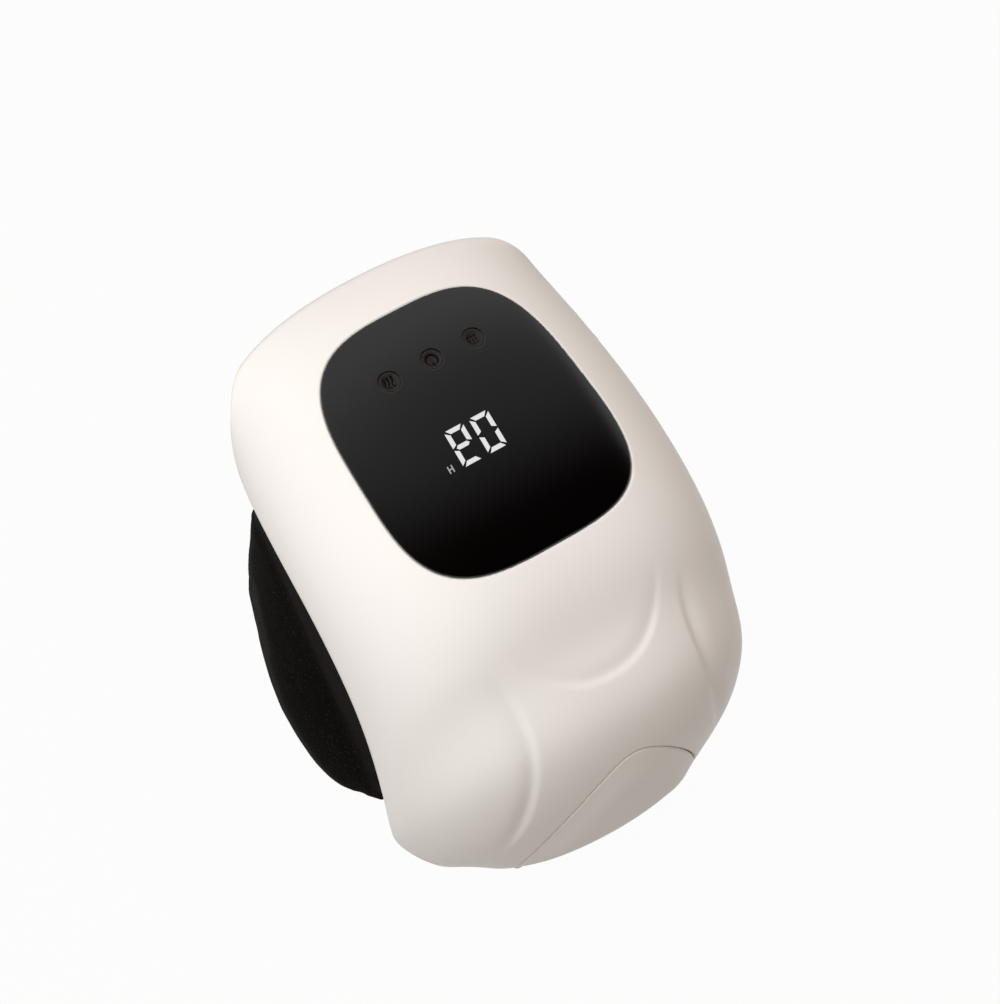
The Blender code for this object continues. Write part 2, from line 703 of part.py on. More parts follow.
def make_panel():
    panel = panel_solid("control_panel", 0.0, -PANEL_PROUD, PANEL_THICK - PANEL_PROUD, GLOSS_BLACK)
    for index, name in enumerate(BUTTON_NAMES):
        x = (index - 1) * BUTTON_PITCH
        low, high = (x, BUTTON_Y, BOARD_TOP), (x, BUTTON_Y, HEIGHT + OVERRUN)
        cut(panel, rod(name + "_hole", BUTTON_RADIUS + BUTTON_CLEARANCE, low, high, GLOSS_BLACK))
    return panel


def make_buttons():
    """Dished caps, each with a flange under the panel and a stem that stops over its switch."""
    for index, name in enumerate(BUTTON_NAMES):
        x = (index - 1) * BUTTON_PITCH
        rim = lowest(x, BUTTON_Y, BUTTON_RADIUS, BUTTON_SUNK - PANEL_PROUD)
        reach = BUTTON_RADIUS + BUTTON_FLANGE
        flange = lowest(x, BUTTON_Y, reach, PANEL_THICK - PANEL_PROUD) - GAP
        nib = BOARD_TOP + SWITCH_HEIGHT + SWITCH_NIB + GAP + BUTTON_TRAVEL
        profile = [(BUTTON_STEM_RADIUS, nib - rim),
                   (BUTTON_STEM_RADIUS, flange - BUTTON_FLANGE - rim),
                   (reach, flange - BUTTON_FLANGE - rim), (reach, flange - rim),
                   (BUTTON_RADIUS, flange - rim),
                   (BUTTON_RADIUS, 0), (BUTTON_RADIUS - BUTTON_SUNK, 0)]
        profile += [(BUTTON_RADIUS * out, -BUTTON_DISH * down) for out, down in DISH_SHARES]
        button = turned(name, profile, GLOSS_BLACK, (x, BUTTON_Y, rim))
        put_origin(button, (x, BUTTON_Y, rim))


def make_switches():
    for index, name in enumerate(SWITCH_NAMES):
        x = (index - 1) * BUTTON_PITCH
        low = BOARD_TOP + TOUCH
        middle = (x, BUTTON_Y, low + SWITCH_HEIGHT / 2)
        tip = (x, BUTTON_Y, low + SWITCH_HEIGHT + SWITCH_NIB)
        body = block(name, (SWITCH_SIZE, SWITCH_SIZE, SWITCH_HEIGHT), middle, SWITCH_BLACK)
        join(body, rod(name + "_nib", SWITCH_NIB_RADIUS, middle, tip, SWITCH_BLACK, 16))


def make_display():
    reach = math.hypot(DISPLAY_WIDTH, DISPLAY_LENGTH) / 2
    top = lowest(DISPLAY_X, DISPLAY_Y, reach, PANEL_THICK - PANEL_PROUD) - DISPLAY_UNDER_PANEL
    low = BOARD_TOP + TOUCH
    size = (DISPLAY_WIDTH, DISPLAY_LENGTH, top - low)
    block("digit_display", size, (DISPLAY_X, DISPLAY_Y, (top + low) / 2), SWITCH_BLACK, EDGE_ROUND)


def board_corners():
    for row, end in (("thigh", 1), ("shin", -1)):
        for column, side in (("left", -1), ("right", 1)):
            x = side * (BOARD_WIDTH / 2 - POST_INSET)
            y = BOARD_Y + end * (BOARD_LENGTH / 2 - POST_INSET)
            yield "board_screw_%s_%s" % (row, column), x, y


def make_board():
    board = block("main_board", (BOARD_WIDTH, BOARD_LENGTH, BOARD_THICK),
                  (0, BOARD_Y, BOARD_TOP - BOARD_THICK / 2), BOARD_GREEN)
    for name, x, y in board_corners():
        low, high = BOARD_TOP - BOARD_SCREW_LENGTH, BOARD_TOP + TOUCH
        cut(board, rod(name + "_hole", BOARD_SCREW_RADIUS + SCREW_CLEARANCE, (x, y, low),
                       (x, y, high + OVERRUN), BOARD_GREEN, 12))
        seat = high - low
        profile = [(BOARD_SCREW_RADIUS, 0), (BOARD_SCREW_RADIUS, seat),
                   (BOARD_SCREW_HEAD_RADIUS, seat),
                   (BOARD_SCREW_HEAD_RADIUS, seat + BOARD_SCREW_HEAD / 2),
                   (BOARD_SCREW_HEAD_RADIUS / 2, seat + BOARD_SCREW_HEAD)]
        turned(name, profile, STEEL, (x, y, low), sides=12)


CELL_Z = BOARD_TOP - BOARD_THICK - CELL_TOP_UNDER_BOARD - CELL_RADIUS


def make_cells():
    for name, end in (("battery_cell_thigh", 1), ("battery_cell_shin", -1)):
        y = CELLS_Y + end * CELL_PITCH / 2
        half = CELL_LENGTH / 2
        profile = [(CELL_RADIUS - CELL_CAP, -half), (CELL_RADIUS, -half + CELL_CAP),
                   (CELL_RADIUS, half - 2 * CELL_CAP), (CELL_RADIUS - CELL_CAP, half - CELL_CAP),
                   (CELL_CAP_RADIUS, half - CELL_CAP), (CELL_CAP_RADIUS, half)]
        turned(name, profile, CELL_BLUE, (0, y, CELL_Z), (end, 0, 0))


def make_cradle():
    """A tray with a trough for each cell and a wall at each end."""
    length = CELL_LENGTH + 2 * CRADLE_END + 2 * GAP
    width = CELL_PITCH + 2 * CELL_RADIUS
    low = CELL_Z - CELL_RADIUS - CRADLE_WALL
    high = CELL_Z
    middle = (0, CELLS_Y, (low + high) / 2)
    cradle = block("battery_cradle", (length, width, high - low), middle, FRAME_GREY)
    for end in (-1, 1):
        y = CELLS_Y + end * CELL_PITCH / 2
        half = CELL_LENGTH / 2 + GAP
        ends = (-half, y, CELL_Z), (half, y, CELL_Z)
        cut(cradle, rod("trough_%d" % (end + 1), CELL_RADIUS + GAP, *ends, FRAME_GREY, 32))


def screw_seat(x, y):
    """Height of the frame's knee face at a frame screw, where the screw's head is let in."""
    return frame_height(x, y, FRAME_WALL)


def frame_height(x, y, deeper=0.0):
    station, degrees = (np.array([float(value)]) for value in KNEE.locate(x, y))
    for _ in range(12):
        spot = frame_point(station, degrees, deeper)[0]
        ahead = frame_point(station + STEP_STATIONS, degrees, deeper)[0] - spot
        aside = frame_point(station, degrees + STEP_DEG, deeper)[0] - spot
        system = np.column_stack([ahead[:2] / STEP_STATIONS, aside[:2] / STEP_DEG])
        move = np.linalg.solve(system, np.array([x, y]) - spot[:2])
        station = np.clip(station + move[0], *SEARCH_STATIONS)
        degrees = np.clip(degrees + move[1], -FRAME_RIM_DEG, FRAME_RIM_DEG)
    return float(frame_point(station, degrees, deeper)[0][2])


def make_fittings():
    """Posts, pads and saddles that stand on the frame, trimmed to end inside its wall."""
    roots = []
    high = BOARD_TOP - BOARD_THICK - TOUCH
    for name, x, y in board_corners():
        foot, top = (x, y, high - POST_DEPTH), (x, y, high)
        roots.append(rod(name + "_post", POST_RADIUS, foot, top, FRAME_GREY, 12))
    for name, (x, y) in FRAME_SCREWS.items():
        seat = screw_seat(x, y)
        roots.append(rod(name + "_pad", BOSS_RADIUS + FRAME_WALL / 2, (x, y, seat - PAD_HEIGHT),
                         (x, y, seat + PAD_HEIGHT), FRAME_GREY, 14))
    cradle_low = CELL_Z - CELL_RADIUS - CRADLE_WALL - TOUCH
    for side in (-1, 1):
        for end in (-1, 1):
            x = side * CELL_LENGTH * REST_SHARES[0]
            y = CELLS_Y + end * CELL_PITCH * REST_SHARES[1]
            foot, top = (x, y, cradle_low - POST_DEPTH / 2), (x, y, cradle_low)
            name = "rest_%d_%d" % (side + 1, end + 1)
            roots.append(rod(name, POST_RADIUS, foot, top, FRAME_GREY, 10))
        middle = (side * MOTOR_X, MOTOR_Y, MOTOR_Z - POST_DEPTH / 2)
        size = (SADDLE_WIDTH, CLAMP_WIDTH, POST_DEPTH)
        roots.append(block("saddle_%d" % (side + 1), size, middle, FRAME_GREY))
    station, degrees = frame_grid(1, 1)
    middle = KNEE.offset(station[station[:, 0] < FITTING_LAST], degrees, FRAME_WALL / 2)
    floor = grid_solid("fitting_trim", middle, middle - np.array([0, 0, POST_DEPTH]), FRAME_GREY)
    for root in roots:
        cut(root, floor)
    return roots


def make_frame():
    grid = frame_grid()
    outer, inner = frame_point(*grid), frame_point(*grid, FRAME_WALL)
    frame = grid_solid("inner_frame", outer, inner, FRAME_GREY)
    join(frame, *make_fittings())
    for name, x, y in board_corners():
        cut(frame, rod(name + "_bore", BOARD_SCREW_RADIUS + SCREW_CLEARANCE,
                       (x, y, BOARD_TOP - BOARD_SCREW_LENGTH - GAP), (x, y, BOARD_TOP), FRAME_GREY, 10))
    for name, (x, y) in FRAME_SCREWS.items():
        seat = screw_seat(x, y)
        cut(frame, rod(name + "_sink", SCREW_HEAD_RADIUS + GAP, (x, y, seat - OVERRUN),
                       (x, y, seat + SCREW_SINK + TOUCH), FRAME_GREY, 14))
        cut(frame, rod(name + "_way", SCREW_RADIUS + SCREW_CLEARANCE, (x, y, seat - OVERRUN),
                       (x, y, seat + PAD_HEIGHT + OVERRUN), FRAME_GREY, 12))
    for side in (-1, 1):
        reach = MOTOR_LENGTH / 2 + GAP
        x = side * MOTOR_X
        ends = (x, MOTOR_Y - reach, MOTOR_Z), (x, MOTOR_Y + reach, MOTOR_Z)
        cut(frame, rod("saddle_bed_%d" % (side + 1), MOTOR_RADIUS + 2 * TOUCH, *ends, FRAME_GREY, 20))
    room = (SOCKET_DEPTH + 2 * PORT_COVER_THICK, SOCKET_BOARD_WIDTH + 2 * GAP,
            SOCKET_BOARD_HEIGHT + 2 * GAP)
    cut(frame, port_block("socket_room", room, PORT_COVER_THICK, FRAME_GREY))
    return frame


def make_motors():
    for word, side in (("left", -1), ("right", 1)):
        x = side * MOTOR_X
        start = MOTOR_Y - MOTOR_LENGTH / 2
        profile = [(MOTOR_RADIUS - CELL_CAP, 0), (MOTOR_RADIUS, CELL_CAP),
                   (MOTOR_RADIUS, MOTOR_LENGTH - CELL_CAP), (MOTOR_RADIUS - CELL_CAP, MOTOR_LENGTH)]
        motor = turned(word + "_motor", profile, STEEL, (x, start, MOTOR_Z), (0, 1, 0))
        bore = SHAFT_RADIUS + SHAFT_CLEARANCE
        cut(motor, rod(word + "_shaft_bore", bore, (x, start - OVERRUN, MOTOR_Z),
                       (x, start + SHAFT_LENGTH / 2 + GAP, MOTOR_Z), STEEL, 24))
        tip = start - SHAFT_LENGTH
        shaft = rod(word + "_motor_weight", SHAFT_RADIUS, (x, tip, MOTOR_Z),
                    (x, start + SHAFT_LENGTH / 2, MOTOR_Z), STEEL, 24)
        far, near = tip + GAP, tip + GAP + WEIGHT_LENGTH
        hub = rod(word + "_hub", WEIGHT_HUB_RADIUS, (x, far, MOTOR_Z), (x, near, MOTOR_Z), STEEL, 16)
        half = rod(word + "_half", WEIGHT_RADIUS, (x, far, MOTOR_Z), (x, near, MOTOR_Z), STEEL, 24)
        cut(half, block(word + "_upper", (4 * WEIGHT_RADIUS, 4 * WEIGHT_LENGTH, 2 * WEIGHT_RADIUS),
                        (x, near, MOTOR_Z + WEIGHT_RADIUS), STEEL))
        join(shaft, hub, half)
        put_origin(shaft, (x, tip, MOTOR_Z))
        make_clamp(word, x)


def make_clamp(word, x):
    """A strap over the can, with a foot on each side of the saddle."""
    inner, outer = MOTOR_RADIUS + GAP / 3, MOTOR_RADIUS + CLAMP_THICK
    foot = SADDLE_WIDTH / 2 + CLAMP_THICK
    arch = [(math.cos(turn), math.sin(turn)) for turn in steps(0, math.pi, 16)]
    low = MOTOR_Z + TOUCH
    path = [(foot, low), (foot, low + CLAMP_THICK)]
    path += [(outer * across, low + max(outer * up, CLAMP_THICK)) for across, up in arch]
    path += [(-foot, low + CLAMP_THICK), (-foot, low)]
    path += [(-inner * across, low + inner * up) for across, up in arch]
    ends = MOTOR_Y - CLAMP_WIDTH / 2, MOTOR_Y + CLAMP_WIDTH / 2
    rings = [np.array([(x + across, y, up) for across, up in path]) for y in ends]
    ring_solid(word + "_motor_clamp", rings, STEEL)


def make_frame_screws():
    for name, (x, y) in FRAME_SCREWS.items():
        head = screw_seat(x, y) + SCREW_SINK
        profile = [(SCREW_HEAD_RADIUS - SCREW_HEAD / 2, -SCREW_HEAD), (SCREW_HEAD_RADIUS, -SCREW_HEAD / 2),
                   (SCREW_HEAD_RADIUS, 0), (SCREW_RADIUS, 0), (SCREW_RADIUS, SCREW_LENGTH - SCREW_RADIUS),
                   (SCREW_RADIUS / 3, SCREW_LENGTH)]
        turned(name, profile, STEEL, (x, y, head), sides=12)


def make_heater():
    grid = frame_grid(HEATER_INSET, HEATER_INSET)
    top = FRAME_WALL + GAP
    under = KNEE.offset(*grid, top + HEATER_THICK)
    grid_solid("heating_film", KNEE.offset(*grid, top), under, HEATER_AMBER)


def make_liner():
    """The pad on the knee side, thin at its border and full in the middle."""
    station, degrees = frame_grid(*LINER_INSET)
    along = np.minimum(station - station[0], station[-1] - station) / LINER_ROUND_STATIONS
    across = (degrees[0, -1] - np.abs(degrees)) / LINER_ROUND_DEG
    full = smooth(np.minimum(along, across))
    thick = LINER_THICK * (LINER_EDGE_SHARE + (1 - LINER_EDGE_SHARE) * full)
    top = FRAME_WALL + HEATER_THICK + 2 * GAP
    under = KNEE.offset(station, degrees, top + thick)
    grid_solid("knee_liner", KNEE.offset(station, degrees, top), under, SOFT_BLACK)


def make_port():
    """Socket, its small board behind the wall, and the soft cover in front of it."""
    depth = PORT_COVER_THICK + 2 * GAP
    size = (SOCKET_DEPTH, SOCKET_WIDTH, SOCKET_HEIGHT)
    socket = port_block("charging_socket", size, depth, STEEL, SOCKET_HEIGHT * SOCKET_EDGE_SHARE)
    mouth = (SOCKET_DEPTH - 4 * SOCKET_WALL, SOCKET_WIDTH - 2 * SOCKET_WALL,
             SOCKET_HEIGHT - 2 * SOCKET_WALL)
    cut(socket, port_block("socket_mouth", mouth, depth - SOCKET_WALL, STEEL))
    board = (SOCKET_BOARD_THICK, SOCKET_BOARD_WIDTH, SOCKET_BOARD_HEIGHT)
    port_block("socket_board", board, depth + SOCKET_DEPTH + TOUCH, BOARD_GREEN)
    size = (PORT_COVER_THICK, PORT_LENGTH, PORT_HEIGHT)
    cover = port_block("socket_cover", size, 0.0, SOFT_BLACK, PORT_COVER_ROUND)
    hinge = PORT_SPOT + PORT_ALONG * (PORT_LENGTH / 2)
    put_origin(cover, hinge)


def wing_axis(y):
    """X and Z of the wing's bending line at a place along the object, for the right wing."""
    share = (y - WING_SHIN_Y) / (WING_THIGH_Y - WING_SHIN_Y)
    x = AXIS_SHIN_X + (AXIS_THIGH_X - AXIS_SHIN_X) * share
    return x, AXIS_SHIN_Z + (AXIS_THIGH_Z - AXIS_SHIN_Z) * share


AXIS_SLOPE = (AXIS_THIGH_Z - AXIS_SHIN_Z) / (WING_THIGH_Y - WING_SHIN_Y)
STEEPER = math.sqrt(1 + AXIS_SLOPE ** 2)


def wing_path(y, tip_x, count):
    """Middle line of the wing's section from its bending line, out round the knee and in to its tip."""
    x, z = wing_axis(y)
    low = WING_THICK / 2 - WING_PRESS
    out = WING_BOW * float(np.interp(y / LENGTH, WING_BOW_Y_SHARES, WING_BOW_SHARES))
    shoulder = z - (z - low) * BOW_SHOULDER_SHARE
    bow = [(x, z), (x + out, shoulder), (x + out * BOW_HIP_SHARE, low), (x + out - WING_HEEL, low)]
    share = steps(0, 1, count)[:, None]
    first, last = (1 - share) ** 3, share ** 3
    second, third = 3 * share * (1 - share) ** 2, 3 * share ** 2 * (1 - share)
    curve = np.hstack([first, second, third, last]) @ np.array(bow)
    flat = (1 - (1 - steps(0, 1, 9)[1:, None]) ** 2)
    return np.concatenate([curve, curve[-1] + flat * (np.array([tip_x, low]) - curve[-1])])


def wing_rings(tip_x, count=8, columns=12):
    """Closed sections of a wing from its shin edge to its thigh edge, each from its bending line."""
    rings = []
    for share in (1 - np.cos(steps(0, math.pi, columns))) / 2:
        root_y = WING_SHIN_Y + (WING_THIGH_Y - WING_SHIN_Y) * share
        tip_y = TIP_SHIN_Y + (TIP_THIGH_Y - TIP_SHIN_Y) * share
        path = wing_path(root_y, tip_x, count)
        ahead = np.gradient(path, axis=0)
        ahead /= np.linalg.norm(ahead, axis=1, keepdims=True)
        side = np.column_stack([-ahead[:, 1], ahead[:, 0]])
        run = np.linspace(0, 1, len(path))
        round_edge = np.sqrt(1 - abs(2 * share - 1) ** WING_EDGE_POWER)
        half = (WING_EDGE_THICK + (WING_THICK - WING_EDGE_THICK) * round_edge) / 2
        inward = np.clip((path[:, 0] - tip_x) / TIP_ROUND, 0, 1)
        tip = np.where(run > 0.5, np.sqrt(1 - (1 - inward) ** 2), 1.0)
        thin = WING_EDGE_THICK / 2 + (half - WING_EDGE_THICK / 2) * tip
        narrow = 1 - (1 - np.minimum(run / WING_NARROW_RUN_SHARE, 1)) ** WING_NARROW_POWER
        y = root_y + (tip_y - root_y) * narrow
        upper, lower = path + side * thin[:, None], path - side * thin[:, None]
        quarter = steps(math.pi / 2, 0, 5)[:-1, None]
        out, back = side[0] * np.cos(quarter), ahead[0] * np.sin(quarter) * STEEPER
        above, below = path[0] + (out - back) * half, path[0] - (out + back) * half
        nose = path[-1] + ahead[-1] * thin[-1] * WING_NOSE_SHARE
        section = np.concatenate([above, upper, [nose], lower[::-1], below[:0:-1]])
        place = np.concatenate([np.full(4, root_y), y, [y[-1]], y[::-1], np.full(3, root_y)])
        rings.append(np.column_stack([section[:, 0], place, section[:, 1]]))
    return rings


def sleeve_solid(name, rings, look):
    """A solid through rings whose points mirror about their first one, which closes its ends evenly."""
    count = len(rings[0])
    middle = count // 2
    faces = []
    for start in (0, (len(rings) - 1) * count):
        for here in range(middle):
            ring = [here, here + 1, (count - here - 1) % count, (count - here) % count]
            faces.append([start + point for point in dict.fromkeys(ring)])
    for ring in range(len(rings) - 1):
        start, after = ring * count, (ring + 1) * count
        for here in range(count):
            there = (here + 1) % count
            faces.append([start + here, start + there, after + there, after + here])
    return mesh_from(name, np.concatenate(rings), faces, look)


def mirrored(rings):
    return [ring * np.array([-1, 1, 1]) for ring in rings]


def axis_point(side):
    """A point on the bending line, half way along the wing."""
    middle = (WING_THIGH_Y + WING_SHIN_Y) / 2
    x, z = wing_axis(middle)
    return Vector((side * x, middle, z))


def make_wings():
    middle = (TIP_SHIN_Y + TIP_THIGH_Y) / 2
    left = sleeve_solid("left_wing", mirrored(wing_rings(LEFT_TIP_X)), FABRIC_BLACK)
    right = sleeve_solid("right_wing", wing_rings(RIGHT_TIP_X), FABRIC_BLACK)
    start = -LEFT_TIP_X - HOOK_TAB_SEAT
    seat = HOOK_TAB_THICK + GAP
    room = HOOK_TAB_WIDTH + 2 * GAP
    cut(left, block("hook_seat", (2 * HOOK_TAB_REACH, room, 2 * seat),
                    (start + HOOK_TAB_REACH - GAP, middle, 0), FABRIC_BLACK))
    length = HOOK_TAB_REACH + HOOK_TAB_SEAT
    hook = block("hook_tab", (length, HOOK_TAB_WIDTH, HOOK_TAB_THICK),
                 (start + length / 2, middle, HOOK_TAB_THICK / 2), SOFT_BLACK, EDGE_ROUND)
    patch_x = RIGHT_TIP_X + LOOP_THICK + LOOP_LENGTH / 2
    cut(right, block("loop_seat", (LOOP_LENGTH + 2 * GAP, room, 2 * (LOOP_THICK + GAP)),
                     (patch_x, middle, 0), FABRIC_BLACK))
    loop = block("loop_patch", (LOOP_LENGTH, HOOK_TAB_WIDTH, LOOP_THICK),
                 (patch_x, middle, LOOP_THICK / 2), SOFT_BLACK)
    for obj, side in ((left, -1), (hook, -1), (right, 1), (loop, 1)):
        if obj in (left, right):
            cut(obj, floor_cutter(obj.name + "_floor"))
        put_origin(obj, axis_point(side))


def rim_at(y):
    """Rim x and z of the shell at a place along the object."""
    station = steps(0, LAST, 400)
    rows = SHELL.row(station)
    rows = rows[np.argsort(rows[:, 3])]
    return np.interp(y, rows[:, 3], rows[:, 2]), np.interp(y, rows[:, 3], rows[:, 4])


def inner_wall(y, z):
    """X of the shell's inner face at a place on its side wall."""
    degrees = steps(*WALL_SEARCH_DEG, 41)
    station = np.full_like(degrees, LAST / 3)
    for _ in range(10):
        spots = SHELL.offset(station, degrees, WALL)
        ahead = SHELL.offset(station + STEP_STATIONS, degrees, WALL)
        station = station - (spots[:, 1] - y) * STEP_STATIONS / (ahead[:, 1] - spots[:, 1])
        station = np.clip(station, 0, LAST)
    spots = SHELL.offset(station, degrees, WALL)
    order = np.argsort(spots[:, 2])
    return float(np.interp(z, spots[order, 2], spots[order, 0]))


def root_rings():
    """Sections of the fixed strip between the shell's rim and the wing, for the right side."""
    rings = []
    for y in steps(ROOT_SHIN_Y, ROOT_THIGH_Y, 11):
        rim_x, rim_z = rim_at(y)
        x, z = wing_axis(y)
        radius = WING_THICK / 2 + WING_GAP
        face = inner_wall(y, rim_z + TUCK) - GAP
        foot = inner_wall(y, rim_z) - GAP
        low_z = rim_z - GAP * 2
        section = [(face - TUCK_THICK, rim_z + TUCK), (face, rim_z + TUCK), (foot, low_z)]
        for degrees in steps(ROOT_OUT_DEG, 180 - ROOT_IN_DEG, 11):
            turn = math.radians(degrees)
            section.append((x + radius * math.cos(turn), z + radius * STEEPER * math.sin(turn)))
        section.append((foot - 2 * TUCK_THICK - GAP * 2, low_z - TUCK / 4))
        section.append((foot - TUCK_THICK, low_z + TUCK / 8))
        rings.append(np.array([(px, y, pz) for px, pz in section]))
    return rings


def rail_rings():
    """Sections of the stiff strip that clamps the wing's root against the wall, for the right side."""
    rings = []
    for y in steps(ROOT_SHIN_Y, ROOT_THIGH_Y, 9):
        _, rim_z = rim_at(y)
        low, high = rim_z + TUCK * RAIL_FOOT_SHARE, rim_z + TUCK
        face_low = inner_wall(y, low) - 2 * GAP - TUCK_THICK - GAP
        face_high = inner_wall(y, high) - 2 * GAP - TUCK_THICK
        section = [(face_low - RAIL_THICK, low), (face_low, low), (face_high, high),
                   (face_high - RAIL_THICK, high)]
        rings.append(np.array([(px, y, pz) for px, pz in section]))
    return rings


def make_roots():
    ring_solid("right_wing_root", root_rings(), FABRIC_BLACK)
    ring_solid("left_wing_root", mirrored(root_rings()), FABRIC_BLACK)
    ring_solid("right_wing_rail", rail_rings(), FRAME_GREY)
    ring_solid("left_wing_rail", mirrored(rail_rings()), FRAME_GREY)


def build():
    clear_scene()
    make_shell()
    make_lip()
    make_panel()
    make_buttons()
    make_switches()
    make_display()
    make_board()
    make_cells()
    make_cradle()
    make_frame()
    make_motors()
    make_frame_screws()
    make_heater()
    make_liner()
    make_port()
    make_wings()
    make_roots()


build()
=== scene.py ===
import math

import bmesh
import bpy
import numpy as np
from mathutils import Matrix, Vector
from mathutils.bvhtree import BVHTree


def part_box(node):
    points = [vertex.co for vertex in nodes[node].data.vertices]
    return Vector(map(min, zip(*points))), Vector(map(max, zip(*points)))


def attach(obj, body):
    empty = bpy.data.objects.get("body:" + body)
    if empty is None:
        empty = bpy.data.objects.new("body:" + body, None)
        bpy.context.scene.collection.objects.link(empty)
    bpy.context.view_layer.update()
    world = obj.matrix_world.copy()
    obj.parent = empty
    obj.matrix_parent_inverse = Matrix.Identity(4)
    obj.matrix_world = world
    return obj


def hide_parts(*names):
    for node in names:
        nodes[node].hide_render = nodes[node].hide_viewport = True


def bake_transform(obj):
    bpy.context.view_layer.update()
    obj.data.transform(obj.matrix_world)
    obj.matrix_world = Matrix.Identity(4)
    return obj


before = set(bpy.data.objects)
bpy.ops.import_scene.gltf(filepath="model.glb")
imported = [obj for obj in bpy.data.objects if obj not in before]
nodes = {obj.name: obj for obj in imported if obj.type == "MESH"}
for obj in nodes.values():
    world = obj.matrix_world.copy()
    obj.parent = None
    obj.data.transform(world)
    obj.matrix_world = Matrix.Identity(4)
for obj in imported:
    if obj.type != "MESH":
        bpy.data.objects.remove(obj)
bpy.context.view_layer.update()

# The room: a pale matt floor, two soft boxes and a pale surround.
# The massager lies on its wings and its shin feet, with the hollow side down.
scene = bpy.context.scene
scene.view_settings.view_transform = "Standard"


def new_material(name, colour, roughness, metallic=0.0):
    """A material with one Principled shader. Gives the material, its tree and that shader."""
    made = bpy.data.materials.new(name)
    made.use_nodes = True
    shader = made.node_tree.nodes["Principled BSDF"]
    shader.inputs["Base Color"].default_value = (*colour, 1.0)
    shader.inputs["Roughness"].default_value = roughness
    shader.inputs["Metallic"].default_value = metallic
    return made, made.node_tree, shader


def wire(tree, *links):
    """Joins nodes. Each link has a node and its output, then a node and its input."""
    for source, out, target, into in links:
        tree.links.new(source.outputs[out], target.inputs[into])


def add_node(tree, kind, values=(), group=None):
    """A shader node of a kind, with values for its inputs by name."""
    made = tree.nodes.new("ShaderNode" + kind)
    if group:
        made.node_tree = group
    for word, value in dict(values).items():
        made.inputs[word].default_value = value
    return made


def ramp(tree, low, high, first, last):
    """Runs from first to last while its input runs from low to high."""
    return add_node(tree, "MapRange",
                    {"From Min": low, "From Max": high, "To Min": first, "To Max": last})


def seen_share(tree, share):
    """A value that is the share for rays that show the room, and zero for rays that light it."""
    seen = add_node(tree, "LightPath")
    either, any_of, part = (add_node(tree, "Math") for _ in range(3))
    either.operation = any_of.operation = "MAXIMUM"
    part.operation = "MULTIPLY"
    part.inputs[1].default_value = share
    wire(tree, (seen, "Is Camera Ray", either, 0), (seen, "Is Glossy Ray", either, 1),
         (either, 0, any_of, 0), (seen, "Is Transmission Ray", any_of, 1), (any_of, 0, part, 0))
    return part


def scene_object(name, mesh, look=None, smooth=True):
    """A mesh as an object in the scene."""
    for face in mesh.polygons:
        face.use_smooth = smooth
    if look:
        mesh.materials.append(look)
    obj = bpy.data.objects.new(name, mesh)
    scene.collection.objects.link(obj)
    return obj


def mesh_object(name, work, look=None, smooth=True):
    """The shaped bmesh as an object in the scene. With a look it is a closed, finished piece."""
    if look:
        bmesh.ops.recalc_face_normals(work, faces=work.faces)
    mesh = bpy.data.meshes.new(name)
    work.to_mesh(mesh)
    work.free()
    return scene_object(name, mesh, look, smooth)


FLOOR_REACH, FLOOR_CELLS, FLOOR_DROP = 3.0, 4, 0.0002
FLOOR_COLOUR, FLOOR_ROUGHNESS, FLOOR_SEEN = (0.36, 0.33, 0.30), 0.9, 0.965
floor_work = bmesh.new()
bmesh.ops.create_grid(floor_work, x_segments=FLOOR_CELLS, y_segments=FLOOR_CELLS, size=FLOOR_REACH)
bmesh.ops.translate(floor_work, vec=(0, 0, -FLOOR_DROP), verts=floor_work.verts)
room_floor = mesh_object("floor", floor_work, smooth=False)
floor_paint, floor_tree, floor_shader = new_material("pale_floor", FLOOR_COLOUR, FLOOR_ROUGHNESS)
floor_glow = add_node(floor_tree, "Emission", {"Color": (1.0, 1.0, 1.0, 1.0), "Strength": 1.0})
floor_mix = add_node(floor_tree, "MixShader")
wire(floor_tree, (seen_share(floor_tree, FLOOR_SEEN), 0, floor_mix, "Fac"),
     (floor_shader, 0, floor_mix, 1), (floor_glow, 0, floor_mix, 2),
     (floor_mix, 0, floor_tree.nodes["Material Output"], "Surface"))
room_floor.data.materials.append(floor_paint)

ROOM_COLOUR, ROOM_LEVEL, ROOM_LEAN = (1.0, 0.88, 0.78), 0.53, 0.32
BACK_RISE, LOW_FALL = (0.13, 0.58), (0.34, 0.50)
world = bpy.data.worlds.new("surround")
world.use_nodes = True
scene.world = world
surround = world.node_tree
room_light = surround.nodes["Background"]
room_light.inputs["Color"].default_value = (*ROOM_COLOUR, 1.0)
room_seen, room_mix = add_node(surround, "Background"), add_node(surround, "MixShader")
room_way, room_parts = add_node(surround, "TexCoord"), add_node(surround, "SeparateXYZ")
room_level = add_node(surround, "Math")
